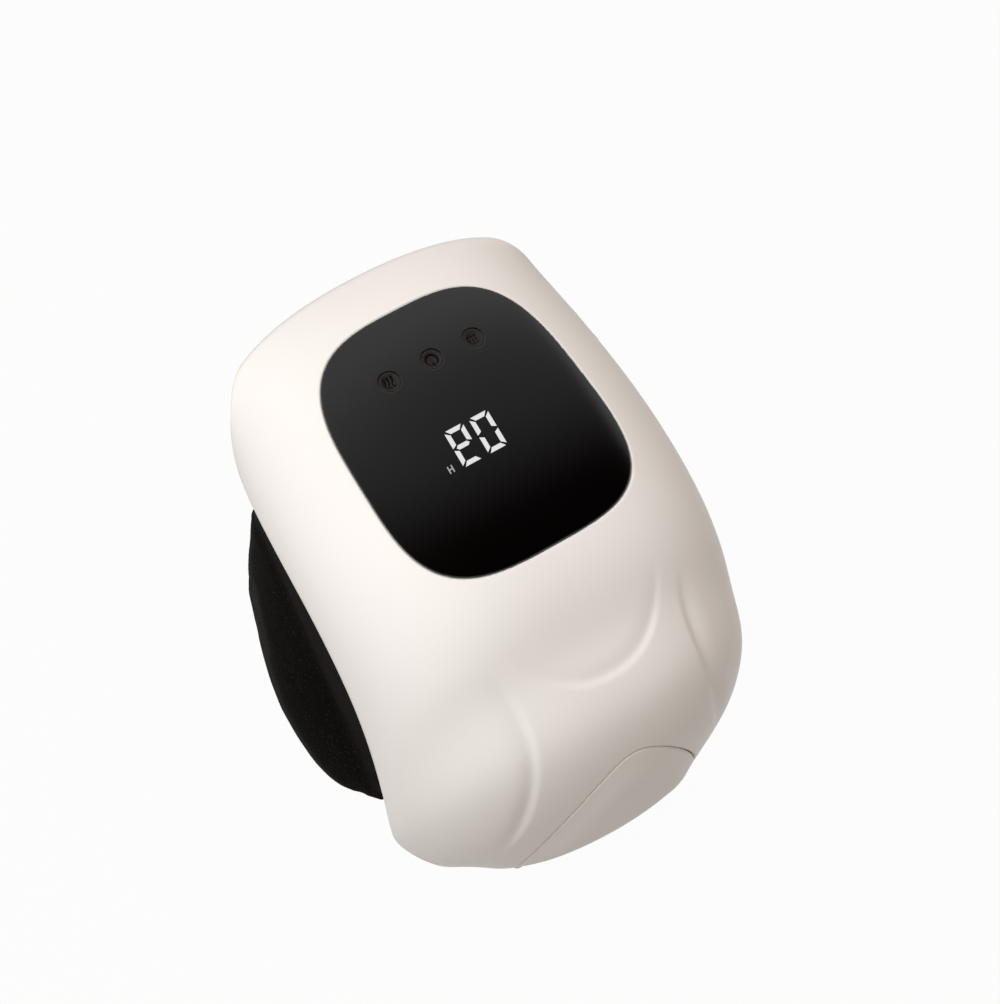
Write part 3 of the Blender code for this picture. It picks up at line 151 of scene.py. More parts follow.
# The room lights the thigh end more than the shin end. What is seen of it is white low down and
# behind the thigh end, and dark overhead.
room_back, room_low = ramp(surround, *BACK_RISE, 0.0, 1.0), ramp(surround, *LOW_FALL, 1.0, 0.0)
room_back.interpolation_type = room_low.interpolation_type = "SMOOTHSTEP"
room_lean = ramp(surround, -1.0, 1.0, ROOM_LEVEL * (1 - ROOM_LEAN), ROOM_LEVEL * (1 + ROOM_LEAN))
room_level.operation = "MAXIMUM"
wire(surround, (room_way, "Generated", room_parts, 0), (room_parts, "Y", room_lean, "Value"),
     (room_lean, "Result", room_light, "Strength"), (room_parts, "Y", room_back, "Value"),
     (room_parts, "Z", room_low, "Value"), (room_back, "Result", room_level, 0),
     (room_low, "Result", room_level, 1), (room_level, 0, room_seen, "Color"),
     (seen_share(surround, 1.0), 0, room_mix, "Fac"), (room_light, 0, room_mix, 1),
     (room_seen, 0, room_mix, 2), (room_mix, 0, surround.nodes["World Output"], "Surface"))

# The camera stands above the shin end and a little to the left of the wearer, with a long lens.
# LOOK_BACK, LOOK_SIDE and LOOK_UP are its three directions, and LOOK_AT is a point on the crown.
LOOK_AT = Vector((0.0, 0.02365, 0.1185))
LOOK_BACK = Vector((-0.361, -0.259, 0.896)).normalized()
LOOK_SIDE = Vector((0.821, -0.543, 0.174))
LOOK_SIDE = (LOOK_SIDE - LOOK_BACK * LOOK_SIDE.dot(LOOK_BACK)).normalized()
LOOK_UP = LOOK_BACK.cross(LOOK_SIDE)
LOOK_DISTANCE, AIM_SIDE, AIM_UP = 1.1234, 0.00527, 0.02074
LENS, SENSOR_WIDTH, NEAREST = 125.27, 36.0, 0.01
aim = (LOOK_BACK - LOOK_SIDE * AIM_SIDE + LOOK_UP * AIM_UP).normalized()
aim_side = (LOOK_SIDE - aim * LOOK_SIDE.dot(aim)).normalized()
camera_data = bpy.data.cameras.new("camera")
camera_data.sensor_fit = "HORIZONTAL"
camera_data.sensor_width = SENSOR_WIDTH
camera_data.lens = LENS
camera_data.clip_start = NEAREST
camera = bpy.data.objects.new("camera", camera_data)
scene.collection.objects.link(camera)
turn = Matrix((aim_side, aim.cross(aim_side), aim)).transposed().to_4x4()
camera.matrix_world = Matrix.Translation(LOOK_AT + LOOK_BACK * LOOK_DISTANCE) @ turn
scene.camera = camera

BOX_DISTANCE, BOX_SIZE = 1.1, 0.5
KEY_WAY, KEY_WATTS, KEY_COLOUR = (0.82, -0.56, 0.10), 4.0, (0.80, 0.92, 1.0)
TOP_WAY, TOP_WATTS, TOP_COLOUR = (0.92, -0.25, 0.20), 5.1, (1.0, 0.94, 0.92)


def soft_box(name, way, watts, colour):
    """A square area lamp that faces the massager, kept out of its reflections. The way to it is
    given in shares of LOOK_BACK, LOOK_SIDE and LOOK_UP."""
    data = bpy.data.lights.new(name, "AREA")
    data.size = BOX_SIZE
    data.energy = watts
    data.color = colour
    lamp = bpy.data.objects.new(name, data)
    scene.collection.objects.link(lamp)
    away = (LOOK_BACK * way[0] + LOOK_SIDE * way[1] + LOOK_UP * way[2]).normalized()
    facing = away.to_track_quat("Z", "Y").to_matrix().to_4x4()
    lamp.matrix_world = Matrix.Translation(LOOK_AT + away * BOX_DISTANCE) @ facing
    lamp.visible_glossy = False


soft_box("key_box", KEY_WAY, KEY_WATTS, KEY_COLOUR)
soft_box("top_box", TOP_WAY, TOP_WATTS, TOP_COLOUR)

# The front shell: one white injection-moulded cover that arches over the knee, satin finished.
# Its surface is lofted through eight sections from the thigh end to the shin end. The lip and the
# panel follow the same surface, so its measures stand here, as shares of the overall sizes.
LENGTH, HALF_WIDTH, HEIGHT, WALL = 0.192, 0.0702, 0.1185, 0.0026
CROWN_Y_SHARES = (0.499, 0.380, 0.1555, -0.1195, -0.263, -0.375, -0.453, -0.499)
CROWN_Z_SHARES = (0.874, 0.966, 1.0, 0.981, 0.846, 0.740, 0.501, 0.157)
RIM_X_SHARES = (0.842, 0.922, 0.980, 0.994, 1.0, 0.972, 0.823, 0.611)
RIM_Y_SHARES = (0.390, 0.302, 0.062, -0.144, -0.269, -0.3195, -0.378, -0.397)
RIM_Z_SHARES = (0.793, 0.653, 0.618, 0.477, 0.245, 0.119, 0.055, -0.012)
LAST_STATION = 7.0
SIDE_POWERS, TOP_POWER = (2.19, 3.05, 1.97), 2.31
STATION_STEP, DEGREE_STEP, WIDEST_SHARE = 0.01, 0.2, 0.999
POINT_ROUNDS, LOCATE_ROUNDS, TRIM_ROUNDS = 12, 8, 3


def smooth(value):
    """Runs from 0 to 1 with soft ends."""
    value = np.clip(value, 0, 1)
    return value * value * (3 - 2 * value)


class Arch:
    """The shell's surface: a station from 0 to 7, and an angle from rim to rim."""

    def __init__(self):
        self.rows = np.column_stack([np.array(shares) * size for shares, size in (
            (CROWN_Y_SHARES, LENGTH), (CROWN_Z_SHARES, HEIGHT), (RIM_X_SHARES, HALF_WIDTH),
            (RIM_Y_SHARES, LENGTH), (RIM_Z_SHARES, HEIGHT))])
        system, wanted = np.eye(len(self.rows)), np.zeros_like(self.rows)
        for row in range(1, len(self.rows) - 1):
            system[row, row - 1:row + 2] = 1, 4, 1
            wanted[row] = 6 * (self.rows[row - 1] - 2 * self.rows[row] + self.rows[row + 1])
        self.bends = np.linalg.solve(system, wanted)

    def row(self, station):
        """Crown y and z, and rim x, y and z, at a station between the sections."""
        low = np.clip(np.floor(station), 0, LAST_STATION - 1).astype(int)
        after = (station - low)[..., None]
        before = 1 - after
        bend = (before ** 3 - before) * self.bends[low] + (after ** 3 - after) * self.bends[low + 1]
        return before * self.rows[low] + after * self.rows[low + 1] + bend / 6

    def power(self, station):
        return np.interp(station, (0, LAST_STATION / 2, LAST_STATION), SIDE_POWERS)

    def point(self, station, degrees):
        """The place on the surface, whose section is a rounded arch with its own power."""
        crown_y, crown_z, rim_x, rim_y, rim_z = np.moveaxis(self.row(station), -1, 0)
        power = self.power(station)
        sine, cosine = np.sin(np.radians(degrees)), np.cos(np.radians(degrees))
        side, top = np.abs(sine), np.abs(cosine)
        reach = np.ones_like(side)
        for _ in range(POINT_ROUNDS):
            beside, above = (reach * side) ** power, (reach * top) ** TOP_POWER
            reach = reach - (beside + above - 1) / ((power * beside + TOP_POWER * above) / reach)
        rise = reach * cosine
        return np.stack([rim_x * reach * sine, rim_y + (crown_y - rim_y) * rise,
                         rim_z + (crown_z - rim_z) * rise], axis=-1)

    def offset(self, station, degrees, inward):
        """The place a distance in from the surface, square to it."""
        low = np.clip(station - STATION_STEP, 0, LAST_STATION)
        high = np.clip(station + STATION_STEP, 0, LAST_STATION)
        along = self.point(high, degrees) - self.point(low, degrees)
        across = (self.point(station, degrees + DEGREE_STEP)
                  - self.point(station, degrees - DEGREE_STEP))
        out = np.cross(along, across)
        out /= np.linalg.norm(out, axis=-1, keepdims=True)
        return self.point(station, degrees) - out * np.asarray(inward)[..., None]

    def angle_at(self, station, x):
        """The angle whose place lies at x, at a station."""
        rim_x = self.row(station)[..., 2]
        power = self.power(station)
        share = np.clip(np.abs(x) / rim_x, 0, WIDEST_SHARE)
        return np.degrees(np.arctan2(np.sign(x) * share, (1 - share ** power) ** (1 / TOP_POWER)))

    def locate(self, x, y):
        """Station and angle of the surface over a place in plan."""
        station = np.interp(-y, -self.rows[:, 0], np.arange(len(self.rows)))
        for _ in range(LOCATE_ROUNDS):
            here = self.point(station, self.angle_at(station, x))[..., 1]
            after = station + STATION_STEP
            ahead = self.point(after, self.angle_at(after, x))[..., 1]
            station = station - (here - y) * STATION_STEP / (ahead - here)
            station = np.clip(station, 0, LAST_STATION - 2 * STATION_STEP)
        return station, self.angle_at(station, x)

    def over(self, x, y, depth):
        """The place in plan brought onto the surface, or below it by a depth."""
        station, degrees = self.locate(np.asarray(x, float), np.asarray(y, float))
        return self.offset(station, degrees, depth)


ARCH = Arch()
PLAN_STEP, TRIM_REACH, FLATTEST_EDGE = 1e-5, 0.0012, 0.05


def flat_places(work):
    """The x and the y of each place of a flat sheet."""
    work.verts.index_update()
    return np.array([vert.co[:2] for vert in work.verts]).T


def flat_grid(width, length, cell, contours):
    """A flat grid split finer along contours: each a function, zero on its line, and its rounds."""
    work = bmesh.new()
    bmesh.ops.create_grid(work, x_segments=round(width / cell), y_segments=round(length / cell),
                          size=0.5)
    bmesh.ops.scale(work, vec=(width, length, 1), verts=work.verts)
    for turn in range(max(rounds for _, rounds in contours)):
        places = flat_places(work)
        away = [np.abs(contour(*places)) for contour, rounds in contours if rounds > turn]
        near = np.min(away, axis=0) < cell
        edges = [edge for edge in work.edges if any(near[vert.index] for vert in edge.verts)]
        bmesh.ops.subdivide_edges(work, edges=edges, cuts=1, use_grid_fill=True)
        cell /= 2
    return work


def slopes(contour, x, y):
    """How steeply a contour's value rises toward x and toward y."""
    return np.stack([contour(x + PLAN_STEP, y) - contour(x - PLAN_STEP, y),
                     contour(x, y + PLAN_STEP) - contour(x, y - PLAN_STEP)]) / (2 * PLAN_STEP)


def trim(work, contour):
    """Cuts off what lies where the contour is negative and draws the cut edge onto its line."""
    middles = np.array([face.calc_center_median()[:2] for face in work.faces]).T
    gone = [face for face, value in zip(work.faces[:], contour(*middles)) if value < 0]
    bmesh.ops.delete(work, geom=gone, context="FACES")
    for _ in range(TRIM_ROUNDS):
        edge = [vert for vert in work.verts if vert.is_boundary]
        x, y = np.array([vert.co[:2] for vert in edge]).T
        value, slope = contour(x, y), slopes(contour, x, y)
        move = -value * slope / np.maximum((slope ** 2).sum(0), FLATTEST_EDGE)
        for vert, value_here, dx, dy in zip(edge, value, *move):
            if abs(value_here) < TRIM_REACH:
                vert.co.x += dx
                vert.co.y += dy


def laid(name, work, wall, place, look):
    """A flat grid given its wall and laid on the object by a function of x, y and depth."""
    bmesh.ops.recalc_face_normals(work, faces=work.faces)
    if sum(face.normal.z for face in work.faces) < 0:
        bmesh.ops.reverse_faces(work, faces=work.faces)
    bmesh.ops.solidify(work, geom=work.faces[:], thickness=wall)
    flat = np.array([vert.co for vert in work.verts])
    deep = np.abs(flat[:, 2]) > wall / 2
    for vert, spot in zip(work.verts, place(flat[:, 0], flat[:, 1], deep)):
        vert.co = spot
    return mesh_object(name, work, look)


DEGREE, RUN, RIM_DEG = 0.0012, 0.240, 90
CORNER_STATIONS, CORNER_DEG = 0.5, (55.0, 88.0)
THIN_SHARE, THIN_STATIONS = 0.55, 0.9


def shell_flat(x, y):
    """Station and angle for a place on the flat sheet, whose y runs from the shin to the thigh."""
    degrees = np.clip(x / DEGREE, -RIM_DEG, RIM_DEG)
    share = np.clip(0.5 - y / RUN, 0, 1)
    first, last = CORNER_DEG
    start = CORNER_STATIONS * smooth((np.abs(degrees) - first) / (last - first))
    return start + (LAST_STATION - start) * share, degrees


PANEL_TOP_HALF, PANEL_FOOT_HALF, PANEL_HALF_LENGTH = 0.0411, 0.0455, 0.0479
PANEL_Y, PANEL_POWER, PANEL_LEDGE, PANEL_SEAT, GAP = 0.0270, 3.31, 0.0030, 0.0015, 0.0003
FLATTEST_OUTLINE, FAR_OFF = 8.0, 0.05


def panel_edge(x, y):
    """Distance in plan from the panel's outline, positive outside it."""
    def value(x, y):
        along = np.clip((y - PANEL_Y) / PANEL_HALF_LENGTH, -3, 3)
        middle = (PANEL_TOP_HALF + PANEL_FOOT_HALF) / 2
        taper = (PANEL_TOP_HALF - PANEL_FOOT_HALF) / 2
        half = middle + taper * np.clip(along, -1, 1)
        size = (np.abs(x) / half) ** PANEL_POWER + np.abs(along) ** PANEL_POWER
        return np.maximum(size, 1e-6) ** (1 / PANEL_POWER) - 1
    return value(x, y) / np.maximum(np.hypot(*slopes(value, x, y)), FLATTEST_OUTLINE)


FOLD_U = {"side": 1, "station": 2.404, "reach": 2.10, "deg": 0.0, "width": 26.2, "power": 2.29,
          "arc": (25, 62, 112, 152), "depth": 0.0008, "start": 0.90, "step": 0.055}
FOLD_LEFT = {"side": -1, "station": 4.47, "reach": 1.75, "deg": 60.0, "width": 32.0, "power": 2.0,
             "arc": (95, 130, 178, 210), "depth": 0.0010, "start": 0.88, "step": 0.085}
FOLD_RIGHT = dict(FOLD_LEFT, side=1)
FOLD_SHARE_REACH, FOLD_FAINT = 0.045, 0.01
SEAM_STATION, SEAM_SLOPE_PER_DEG, SEAM_ROUND_DEG, SEAM_END_DEG = 5.74, 0.0245, 7.0, 54.0
SEAM_GAP, SEAM_SHUT, SEAM_SHUT_RIM, SEAM_OPEN_RUN = 0.00050, 0.1, 0.003, 0.006
SEAM_ROUND, RIM_ROUND, PORT_ROUND = 0.0004, 0.0009, 0.0004
POCKET_ROUND, POCKET_STEP = 0.0005, 0.0003


def fold_round(fold, station, degrees):
    """Share of the way to the fold's oval line, and how much of the fold is left at that place."""
    along = (station - fold["station"]) / fold["reach"]
    across = (fold["side"] * degrees - fold["deg"]) / fold["width"]
    power = fold["power"]
    share = (np.abs(along) ** power + np.abs(across) ** power) ** (1 / power)
    turn = np.degrees(np.arctan2(along, across)) % 360
    first, full, last_full, last = fold["arc"]
    rise, fall = smooth((turn - first) / (full - first)), smooth((last - turn) / (last - last_full))
    return share, rise * fall


def fold_sink(fold, station, degrees):
    """How far the surface sinks in a fold: it falls off toward the line and steps back up there."""
    share, left = fold_round(fold, station, degrees)
    fall = smooth((share - fold["start"]) / (1 - fold["start"]))
    return fold["depth"] * left * fall * smooth((1 + fold["step"] - share) / fold["step"])


def fold_lines(x, y):
    """Distance from the nearest fold's step."""
    station, degrees = shell_flat(x, y)
    away = []
    for fold in (FOLD_U, FOLD_LEFT, FOLD_RIGHT):
        share, left = fold_round(fold, station, degrees)
        step = np.abs(share - 1 - fold["step"] / 2) * FOLD_SHARE_REACH
        away.append(np.where(left > FOLD_FAINT, step, FAR_OFF))
    return np.min(away, axis=0)


def seam_line(x, y):
    """Distance from the seam between shell and lip, positive on the shell."""
    degrees = np.abs(x / DEGREE)
    fall = np.sqrt(degrees ** 2 + SEAM_ROUND_DEG ** 2) - SEAM_ROUND_DEG
    station = SEAM_STATION + SEAM_SLOPE_PER_DEG * fall
    return np.maximum(np.abs(x) - SEAM_END_DEG * DEGREE, y - RUN * (0.5 - station / LAST_STATION))


def seam_open(y):
    """How open the seam stands: it closes toward the rim, where the lip is pressed home."""
    away = RUN / 2 - np.abs(y) - SEAM_SHUT_RIM
    return SEAM_SHUT + (1 - SEAM_SHUT) * smooth(away / SEAM_OPEN_RUN)


def seam_side(x, y, side):
    """Distance from the seam's own edge, for the shell with side 1 or the lip with side -1."""
    return side * seam_line(x, y) - seam_open(y) * SEAM_GAP / 2


def panel_line(x, y):
    """Distance from the panel's outline, positive outside it."""
    spots = ARCH.point(*shell_flat(x, y))
    away = panel_edge(spots[..., 0], spots[..., 1])
    return np.where(spots[..., 2] > HEIGHT / 2, away, FAR_OFF)


PORT_SPOT = np.array([0.0649016, 0.047, 0.0880723])
PORT_OUT = np.array([0.957173, 0.0928028, 0.274240])
PORT_ALONG = np.array([-0.0892134, 0.995685, -0.0255605])
PORT_UP = np.cross(PORT_OUT, PORT_ALONG)
PORT_LENGTH, PORT_HEIGHT, PORT_COVER_THICK, HINGE_ROOM = 0.0150, 0.0066, 0.0014, 0.0018
SOCKET_WIDTH, SOCKET_HEIGHT, PORT_INWARD = 0.0090, 0.0032, 0.01


def port_line(x, y, half_length=PORT_LENGTH / 2 + GAP, half_height=PORT_HEIGHT / 2 + GAP,
              room=HINGE_ROOM):
    """Distance from the charging port's recess, positive outside it."""
    away = ARCH.point(*shell_flat(x, y)) - PORT_SPOT
    along = np.abs(away @ PORT_ALONG - room / 2) - half_length - room / 2
    rise = np.abs(away @ PORT_UP) - half_height
    here = (away @ PORT_OUT > -PORT_INWARD) & (x > 0)
    return np.where(here, np.maximum(along, rise), FAR_OFF)


def rim_line(x, y):
    """Distance in from the shell's own edge."""
    return np.minimum(RIM_DEG * DEGREE - np.abs(x), RUN / 2 - np.abs(y))


def rounded(away, radius):
    """How far an edge drops when it is rounded, at a distance in from it."""
    near = radius - np.clip(away, 0, radius)
    return radius - np.sqrt(radius ** 2 - near ** 2)


def on_ground(spots, lowest=0):
    """The same places with none of them under the ground, or under a lowest height."""
    spots[:, 2] = np.maximum(spots[:, 2], lowest)
    return spots


def shell_place(x, y, deep):
    """The shell's outside, or its inside where deep, with the folds, pocket and recess sunk in."""
    station, degrees = shell_flat(x, y)
    wall = WALL * (THIN_SHARE + (1 - THIN_SHARE) * smooth(station / THIN_STATIONS))
    sink = sum(fold_sink(fold, station, degrees) for fold in (FOLD_U, FOLD_LEFT, FOLD_RIGHT))
    sink += rounded(seam_side(x, y, 1), SEAM_ROUND * seam_open(y))
    sink += rounded(rim_line(x, y), RIM_ROUND)
    panel, port = panel_line(x, y) - GAP, port_line(x, y)
    pocket = PANEL_SEAT * smooth(-panel / POCKET_STEP) + POCKET_ROUND
    recess = (PORT_COVER_THICK + GAP) * smooth(-port / PORT_ROUND)
    sink += np.where(panel > 0, rounded(panel, POCKET_ROUND), pocket)
    sink += np.where(port > 0, rounded(port, PORT_ROUND), recess)
    return on_ground(ARCH.offset(station, degrees, np.where(deep, wall, sink)))


def effect_group(name, scale, outputs):
    """An empty node group with its scale and outputs. Gives it, its two ends and its places."""
    group = bpy.data.node_groups.new(name, "ShaderNodeTree")
    for word, way in [(scale, "INPUT"), *((word, "OUTPUT") for word in outputs)]:
        group.interface.new_socket(word, in_out=way, socket_type="NodeSocketFloat")
    start, end = group.nodes.new("NodeGroupInput"), group.nodes.new("NodeGroupOutput")
    return group, start, end, add_node(group, "TexCoord")


def grain_group():
    """Fine unevenness of a moulded part: a height, and a mask for where the finish is duller."""
    group, start, end, place = effect_group("moulded_grain", "Grains per metre", ("Height", "Dull"))
    fine = add_node(group, "TexNoise", {"Detail": 3.0})
    broad = add_node(group, "TexNoise", {"Scale": 30.0, "Detail": 4.0})
    wire(group, (place, "Object", fine, "Vector"), (place, "Object", broad, "Vector"),
         (start, 0, fine, "Scale"), (fine, "Fac", end, "Height"), (broad, "Fac", end, "Dull"))
    return group


MOULDED_GRAIN = grain_group()
GLOSSIEST, DULLEST, GRAIN_STRENGTH = 0.85, 1.20, 0.5


def two_tone(tree, first, second):
    """A mix of two colours by its factor."""
    made = tree.nodes.new("ShaderNodeMix")
    made.data_type = "RGBA"
    for word, colour in (("A", first), ("B", second)):
        made.inputs[word].default_value = (*colour, 1.0)
    return made


def raised(tree, shader, source, distance, strength=1.0, height="Height"):
    """Lets a height stand out of the surface."""
    lift = add_node(tree, "Bump", {"Distance": distance, "Strength": strength})
    wire(tree, (source, height, lift, "Height"), (lift, "Normal", shader, "Normal"))


def moulded(name, colour, roughness, grains, bump, spread, coat=0.0, mirror=0.5):
    """Moulded plastic: its colour and gloss vary a little, over a fine grain."""
    made, tree, shader = new_material(name, colour, roughness)
    grain = add_node(tree, "Group", {"Grains per metre": grains}, MOULDED_GRAIN)
    tint = two_tone(tree, colour, [share * (1 - spread) for share in colour])
    gloss = ramp(tree, 0.0, 1.0, roughness * GLOSSIEST, roughness * DULLEST)
    shader.inputs["Coat Weight"].default_value = coat
    shader.inputs["Specular IOR Level"].default_value = mirror
    wire(tree, (grain, "Dull", tint, "Factor"), (tint, "Result", shader, "Base Color"),
         (grain, "Dull", gloss, "Value"), (gloss, "Result", shader, "Roughness"))
    raised(tree, shader, grain, bump, GRAIN_STRENGTH)
    return made


SHELL_WHITE = moulded("shell_white", (0.86, 0.850, 0.835), 0.38, grains=900, bump=0.00002,
                      spread=0.02, mirror=0.22)
SHELL_CELL = 0.0030
shell_work = flat_grid(2 * RIM_DEG * DEGREE, RUN, SHELL_CELL,
                       [(fold_lines, 2), (panel_line, 3), (seam_line, 3), (port_line, 3)])
trim(shell_work, lambda x, y: seam_side(x, y, 1))
trim(shell_work, lambda x, y: panel_line(x, y) + PANEL_LEDGE)
trim(shell_work, lambda x, y: port_line(x, y, SOCKET_WIDTH / 2, SOCKET_HEIGHT / 2, 0.0))
shell_cover = laid("shell_cover", shell_work, WALL, shell_place, SHELL_WHITE)
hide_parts("front_shell")
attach(shell_cover, "housing")

# The lip at the shin end: a second white moulding, clipped into the shell's notch so that a fine
# dark seam is left round it. It stands a little proud of the shell in its middle.
LIP_BULGE, LIP_BULGE_RUN, LIP_FALL, LIP_FALL_RUN = 0.0016, 0.018, 0.0018, 0.0080


def lip_place(x, y, deep):
    """The lip's outside, or its inside where deep, bulging in its middle and falling to its rim."""
    station, degrees = shell_flat(x, y)
    inside, rim = seam_side(x, y, -1), RUN / 2 - np.abs(y)
    sink = rounded(inside, SEAM_ROUND * seam_open(y)) + rounded(rim, RIM_ROUND)
    sink += smooth(inside / LIP_BULGE_RUN) * (LIP_FALL * smooth(1 - rim / LIP_FALL_RUN) - LIP_BULGE)
    return on_ground(ARCH.offset(station, degrees, np.where(deep, WALL, sink)))


lip_work = flat_grid(2 * RIM_DEG * DEGREE, RUN, SHELL_CELL, [(seam_line, 3)])
trim(lip_work, lambda x, y: seam_side(x, y, -1))
lip_cover = laid("lip_cover", lip_work, WALL, lip_place, SHELL_WHITE)
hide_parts("chin_cover")
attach(lip_cover, "housing")

# The control panel: a smoked acrylic sheet, black behind, cut to a rounded shield and laid into the
# shell's pocket. Three holes let the buttons through.
PANEL_THICK, PANEL_PROUD = 0.0016, 0.0002
BUTTON_RADIUS, BUTTON_PITCH, BUTTON_Y, BUTTON_CLEARANCE = 0.0035, 0.0165, 0.0530, 0.00006
BUTTON_X = (-BUTTON_PITCH, 0.0, BUTTON_PITCH)
PANEL_ROUND, HOLE_ROUND, PANEL_BLANK, PANEL_CELL = 0.0003, 0.00008, (0.094, 0.100), 0.0022


def hole_edge(x, y):
    """Distance out from the nearest button hole."""
    middles = [np.hypot(x - at, y + PANEL_Y - BUTTON_Y) for at in BUTTON_X]
    return np.min(middles, axis=0) - BUTTON_RADIUS - BUTTON_CLEARANCE


def panel_inside(x, y):
    """Distance in from the panel's own edge, at its outline or at a button hole."""
    return np.minimum(-panel_edge(x, y + PANEL_Y), hole_edge(x, y))


def panel_place(x, y, deep):
    """The sheet's face a little proud of the shell, or its back where deep."""
    sink = rounded(-panel_edge(x, y + PANEL_Y), PANEL_ROUND)
    sink += rounded(hole_edge(x, y), HOLE_ROUND)
    return ARCH.over(x, y + PANEL_Y, np.where(deep, PANEL_THICK, sink) - PANEL_PROUD)


panel_work = flat_grid(*PANEL_BLANK, PANEL_CELL, [(panel_inside, 3)])
trim(panel_work, panel_inside)
PANEL_BLACK = moulded("panel_black", (0.0013, 0.0006, 0.0006), 0.17, grains=400, bump=0.0000015,
                      spread=0.2, mirror=0.48)
panel_sheet = laid("panel_sheet", panel_work, PANEL_THICK, panel_place, PANEL_BLACK)
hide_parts("control_panel")
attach(panel_sheet, "housing")

# Three buttons, turned and dished so that a thumb finds them. Each carries a printed mark: warmth,
# power and massage. They ride with their own keys, which press the switches on the board.
BUTTON_DISH, BUTTON_SUNK, BUTTON_LIP, DISH_RUN = 0.0017, 0.00002, 0.0003, 0.0020
BUTTON_SHARES = (0.0, 0.15, 0.3, 0.42, 0.54, 0.66, 0.76, 0.84, 0.91, 0.96, 1.0)
BUTTON_SIDES, BUTTON_SKIRT, BUTTON_DEEP = 64, 0.0012, 0.002


def dish_sink(away):
    """Depth of a button's face under its rim, at a distance from its middle."""
    return BUTTON_DISH * smooth((BUTTON_RADIUS - BUTTON_LIP - away) / DISH_RUN)


def button_tops(x, y, at):
    """Height of a button's rim, at places measured from the button's middle."""
    return ARCH.over(x + at, y + BUTTON_Y, np.full(len(x), BUTTON_SUNK - PANEL_PROUD))[:, 2]


def button_cap(name, node, body, at):
    """A round cap, spun from its half section: the dish, the skirt and the foot."""
    low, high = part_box(node)
    foot = low.z - high.z
    radii = [BUTTON_RADIUS * share for share in BUTTON_SHARES]
    profile = [(radius, -dish_sink(radius)) for radius in radii]
    profile += [(BUTTON_RADIUS, -BUTTON_SKIRT), (BUTTON_RADIUS, foot), (0, foot)]
    work = bmesh.new()
    verts = [work.verts.new((radius, 0, height)) for radius, height in profile]
    edges = [work.edges.new(pair) for pair in zip(verts, verts[1:])]
    bmesh.ops.spin(work, geom=verts + edges, cent=(0, 0, 0), axis=(0, 0, 1), angle=2 * math.pi,
                   steps=BUTTON_SIDES, use_merge=True)
    bmesh.ops.remove_doubles(work, verts=work.verts, dist=1e-6)
    x, y = np.array([vert.co[:2] for vert in work.verts]).T
    for vert, top in zip(work.verts, button_tops(x, y, at)):
        height = low.z if vert.co.z < -BUTTON_DEEP else top + vert.co.z
        vert.co = (vert.co.x + at, vert.co.y + BUTTON_Y, height)
    obj = mesh_object(name, work, BUTTON_BLACK)
    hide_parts(node)
    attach(obj, body)


BUTTON_BLACK = moulded("button_black", (0.028, 0.025, 0.025), 0.50, grains=700, bump=0.000004,
                       spread=0.15, mirror=0.12)
MARK_BLACK = moulded("mark_black", (0.0025, 0.0021, 0.0021), 0.55, grains=700, bump=0.000002,
                     spread=0.1, mirror=0.16)
MARK_WIRE, MARK_RISE, MARK_REACH, MARK_FLAT = 0.00024, 0.00006, 0.0025, 0.6


def swaying(length, sway, count=17):
    """Points of a line that sways once to each side."""
    runs = [index / (count - 1) - 0.5 for index in range(count)]
    return [(sway * math.sin(2 * math.pi * run), length * run) for run in runs]


def ring_part(radius, first, last, count=25):
    """Points of a part of a ring, from one angle to another."""
    turns = [math.radians(first + (last - first) * index / (count - 1)) for index in range(count)]
    return [(radius * math.sin(turn), radius * math.cos(turn)) for turn in turns]


def drawn_lines(name, kind, lines, radius, rounds, look):
    """Round solid lines through places, as a mesh in the scene."""
    drawn = bpy.data.curves.new(name, "CURVE")
    drawn.dimensions = "3D"
    drawn.bevel_depth = radius
    drawn.bevel_resolution = rounds
    drawn.use_fill_caps = True
    for line in lines:
        spline = drawn.splines.new(kind)
        spline.points.add(len(line) - 1)
        for point, spot in zip(spline.points, line):
            point.co = (*spot, 1)
        if kind == "NURBS":
            spline.use_endpoint_u = True
            spline.order_u = 4
            spline.resolution_u = 3
    holder = bpy.data.objects.new(name + "_line", drawn)
    mesh = bpy.data.meshes.new_from_object(holder)
    bpy.data.objects.remove(holder)
    return scene_object(name, mesh, look)


def button_mark(name, body, at, lines):
    """Fine raised lines on a button, drawn in shares of the mark's reach from its middle."""
    flat = [[(x * MARK_REACH, y * MARK_REACH, 0) for x, y in line] for line in lines]
    obj = drawn_lines(name, "POLY", flat, MARK_WIRE, 2, MARK_BLACK)
    x, y, z = np.array([vert.co for vert in obj.data.vertices]).T
    tops = button_tops(x, y, at) + (z * MARK_FLAT + MARK_RISE - dish_sink(np.hypot(x, y)))
    for vert, height in zip(obj.data.vertices, tops):
        vert.co = (vert.co.x + at, vert.co.y + BUTTON_Y, height)
    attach(obj, body)


WAVES, WAVE_LENGTH, WAVE_SWAY = (-0.52, 0.0, 0.52), 1.7, 0.15
RING, RING_OPEN, RING_BAR = 0.82, 146, (-0.20, -1.0)
TAPS, TAP_HALF = (-0.5, 0.0, 0.5), 0.09
WARMTH_MARK = [[(x + wave, y) for x, y in swaying(WAVE_LENGTH, WAVE_SWAY)] for wave in WAVES]
POWER_MARK = [ring_part(RING, -RING_OPEN, RING_OPEN), [(0, end) for end in RING_BAR]]
MASSAGE_MARK = [[(x + end, y + end) for end in (-TAP_HALF, TAP_HALF)] for x in TAPS for y in TAPS]
for name, body, at, lines in (("heat", "heat_key", BUTTON_X[0], WARMTH_MARK),
                              ("power", "power_key", BUTTON_X[1], POWER_MARK),
                              ("massage", "massage_key", BUTTON_X[2], MASSAGE_MARK)):
    button_cap(name + "_cap", name + "_button", body, at)
    button_mark(name + "_mark", body, at, lines)

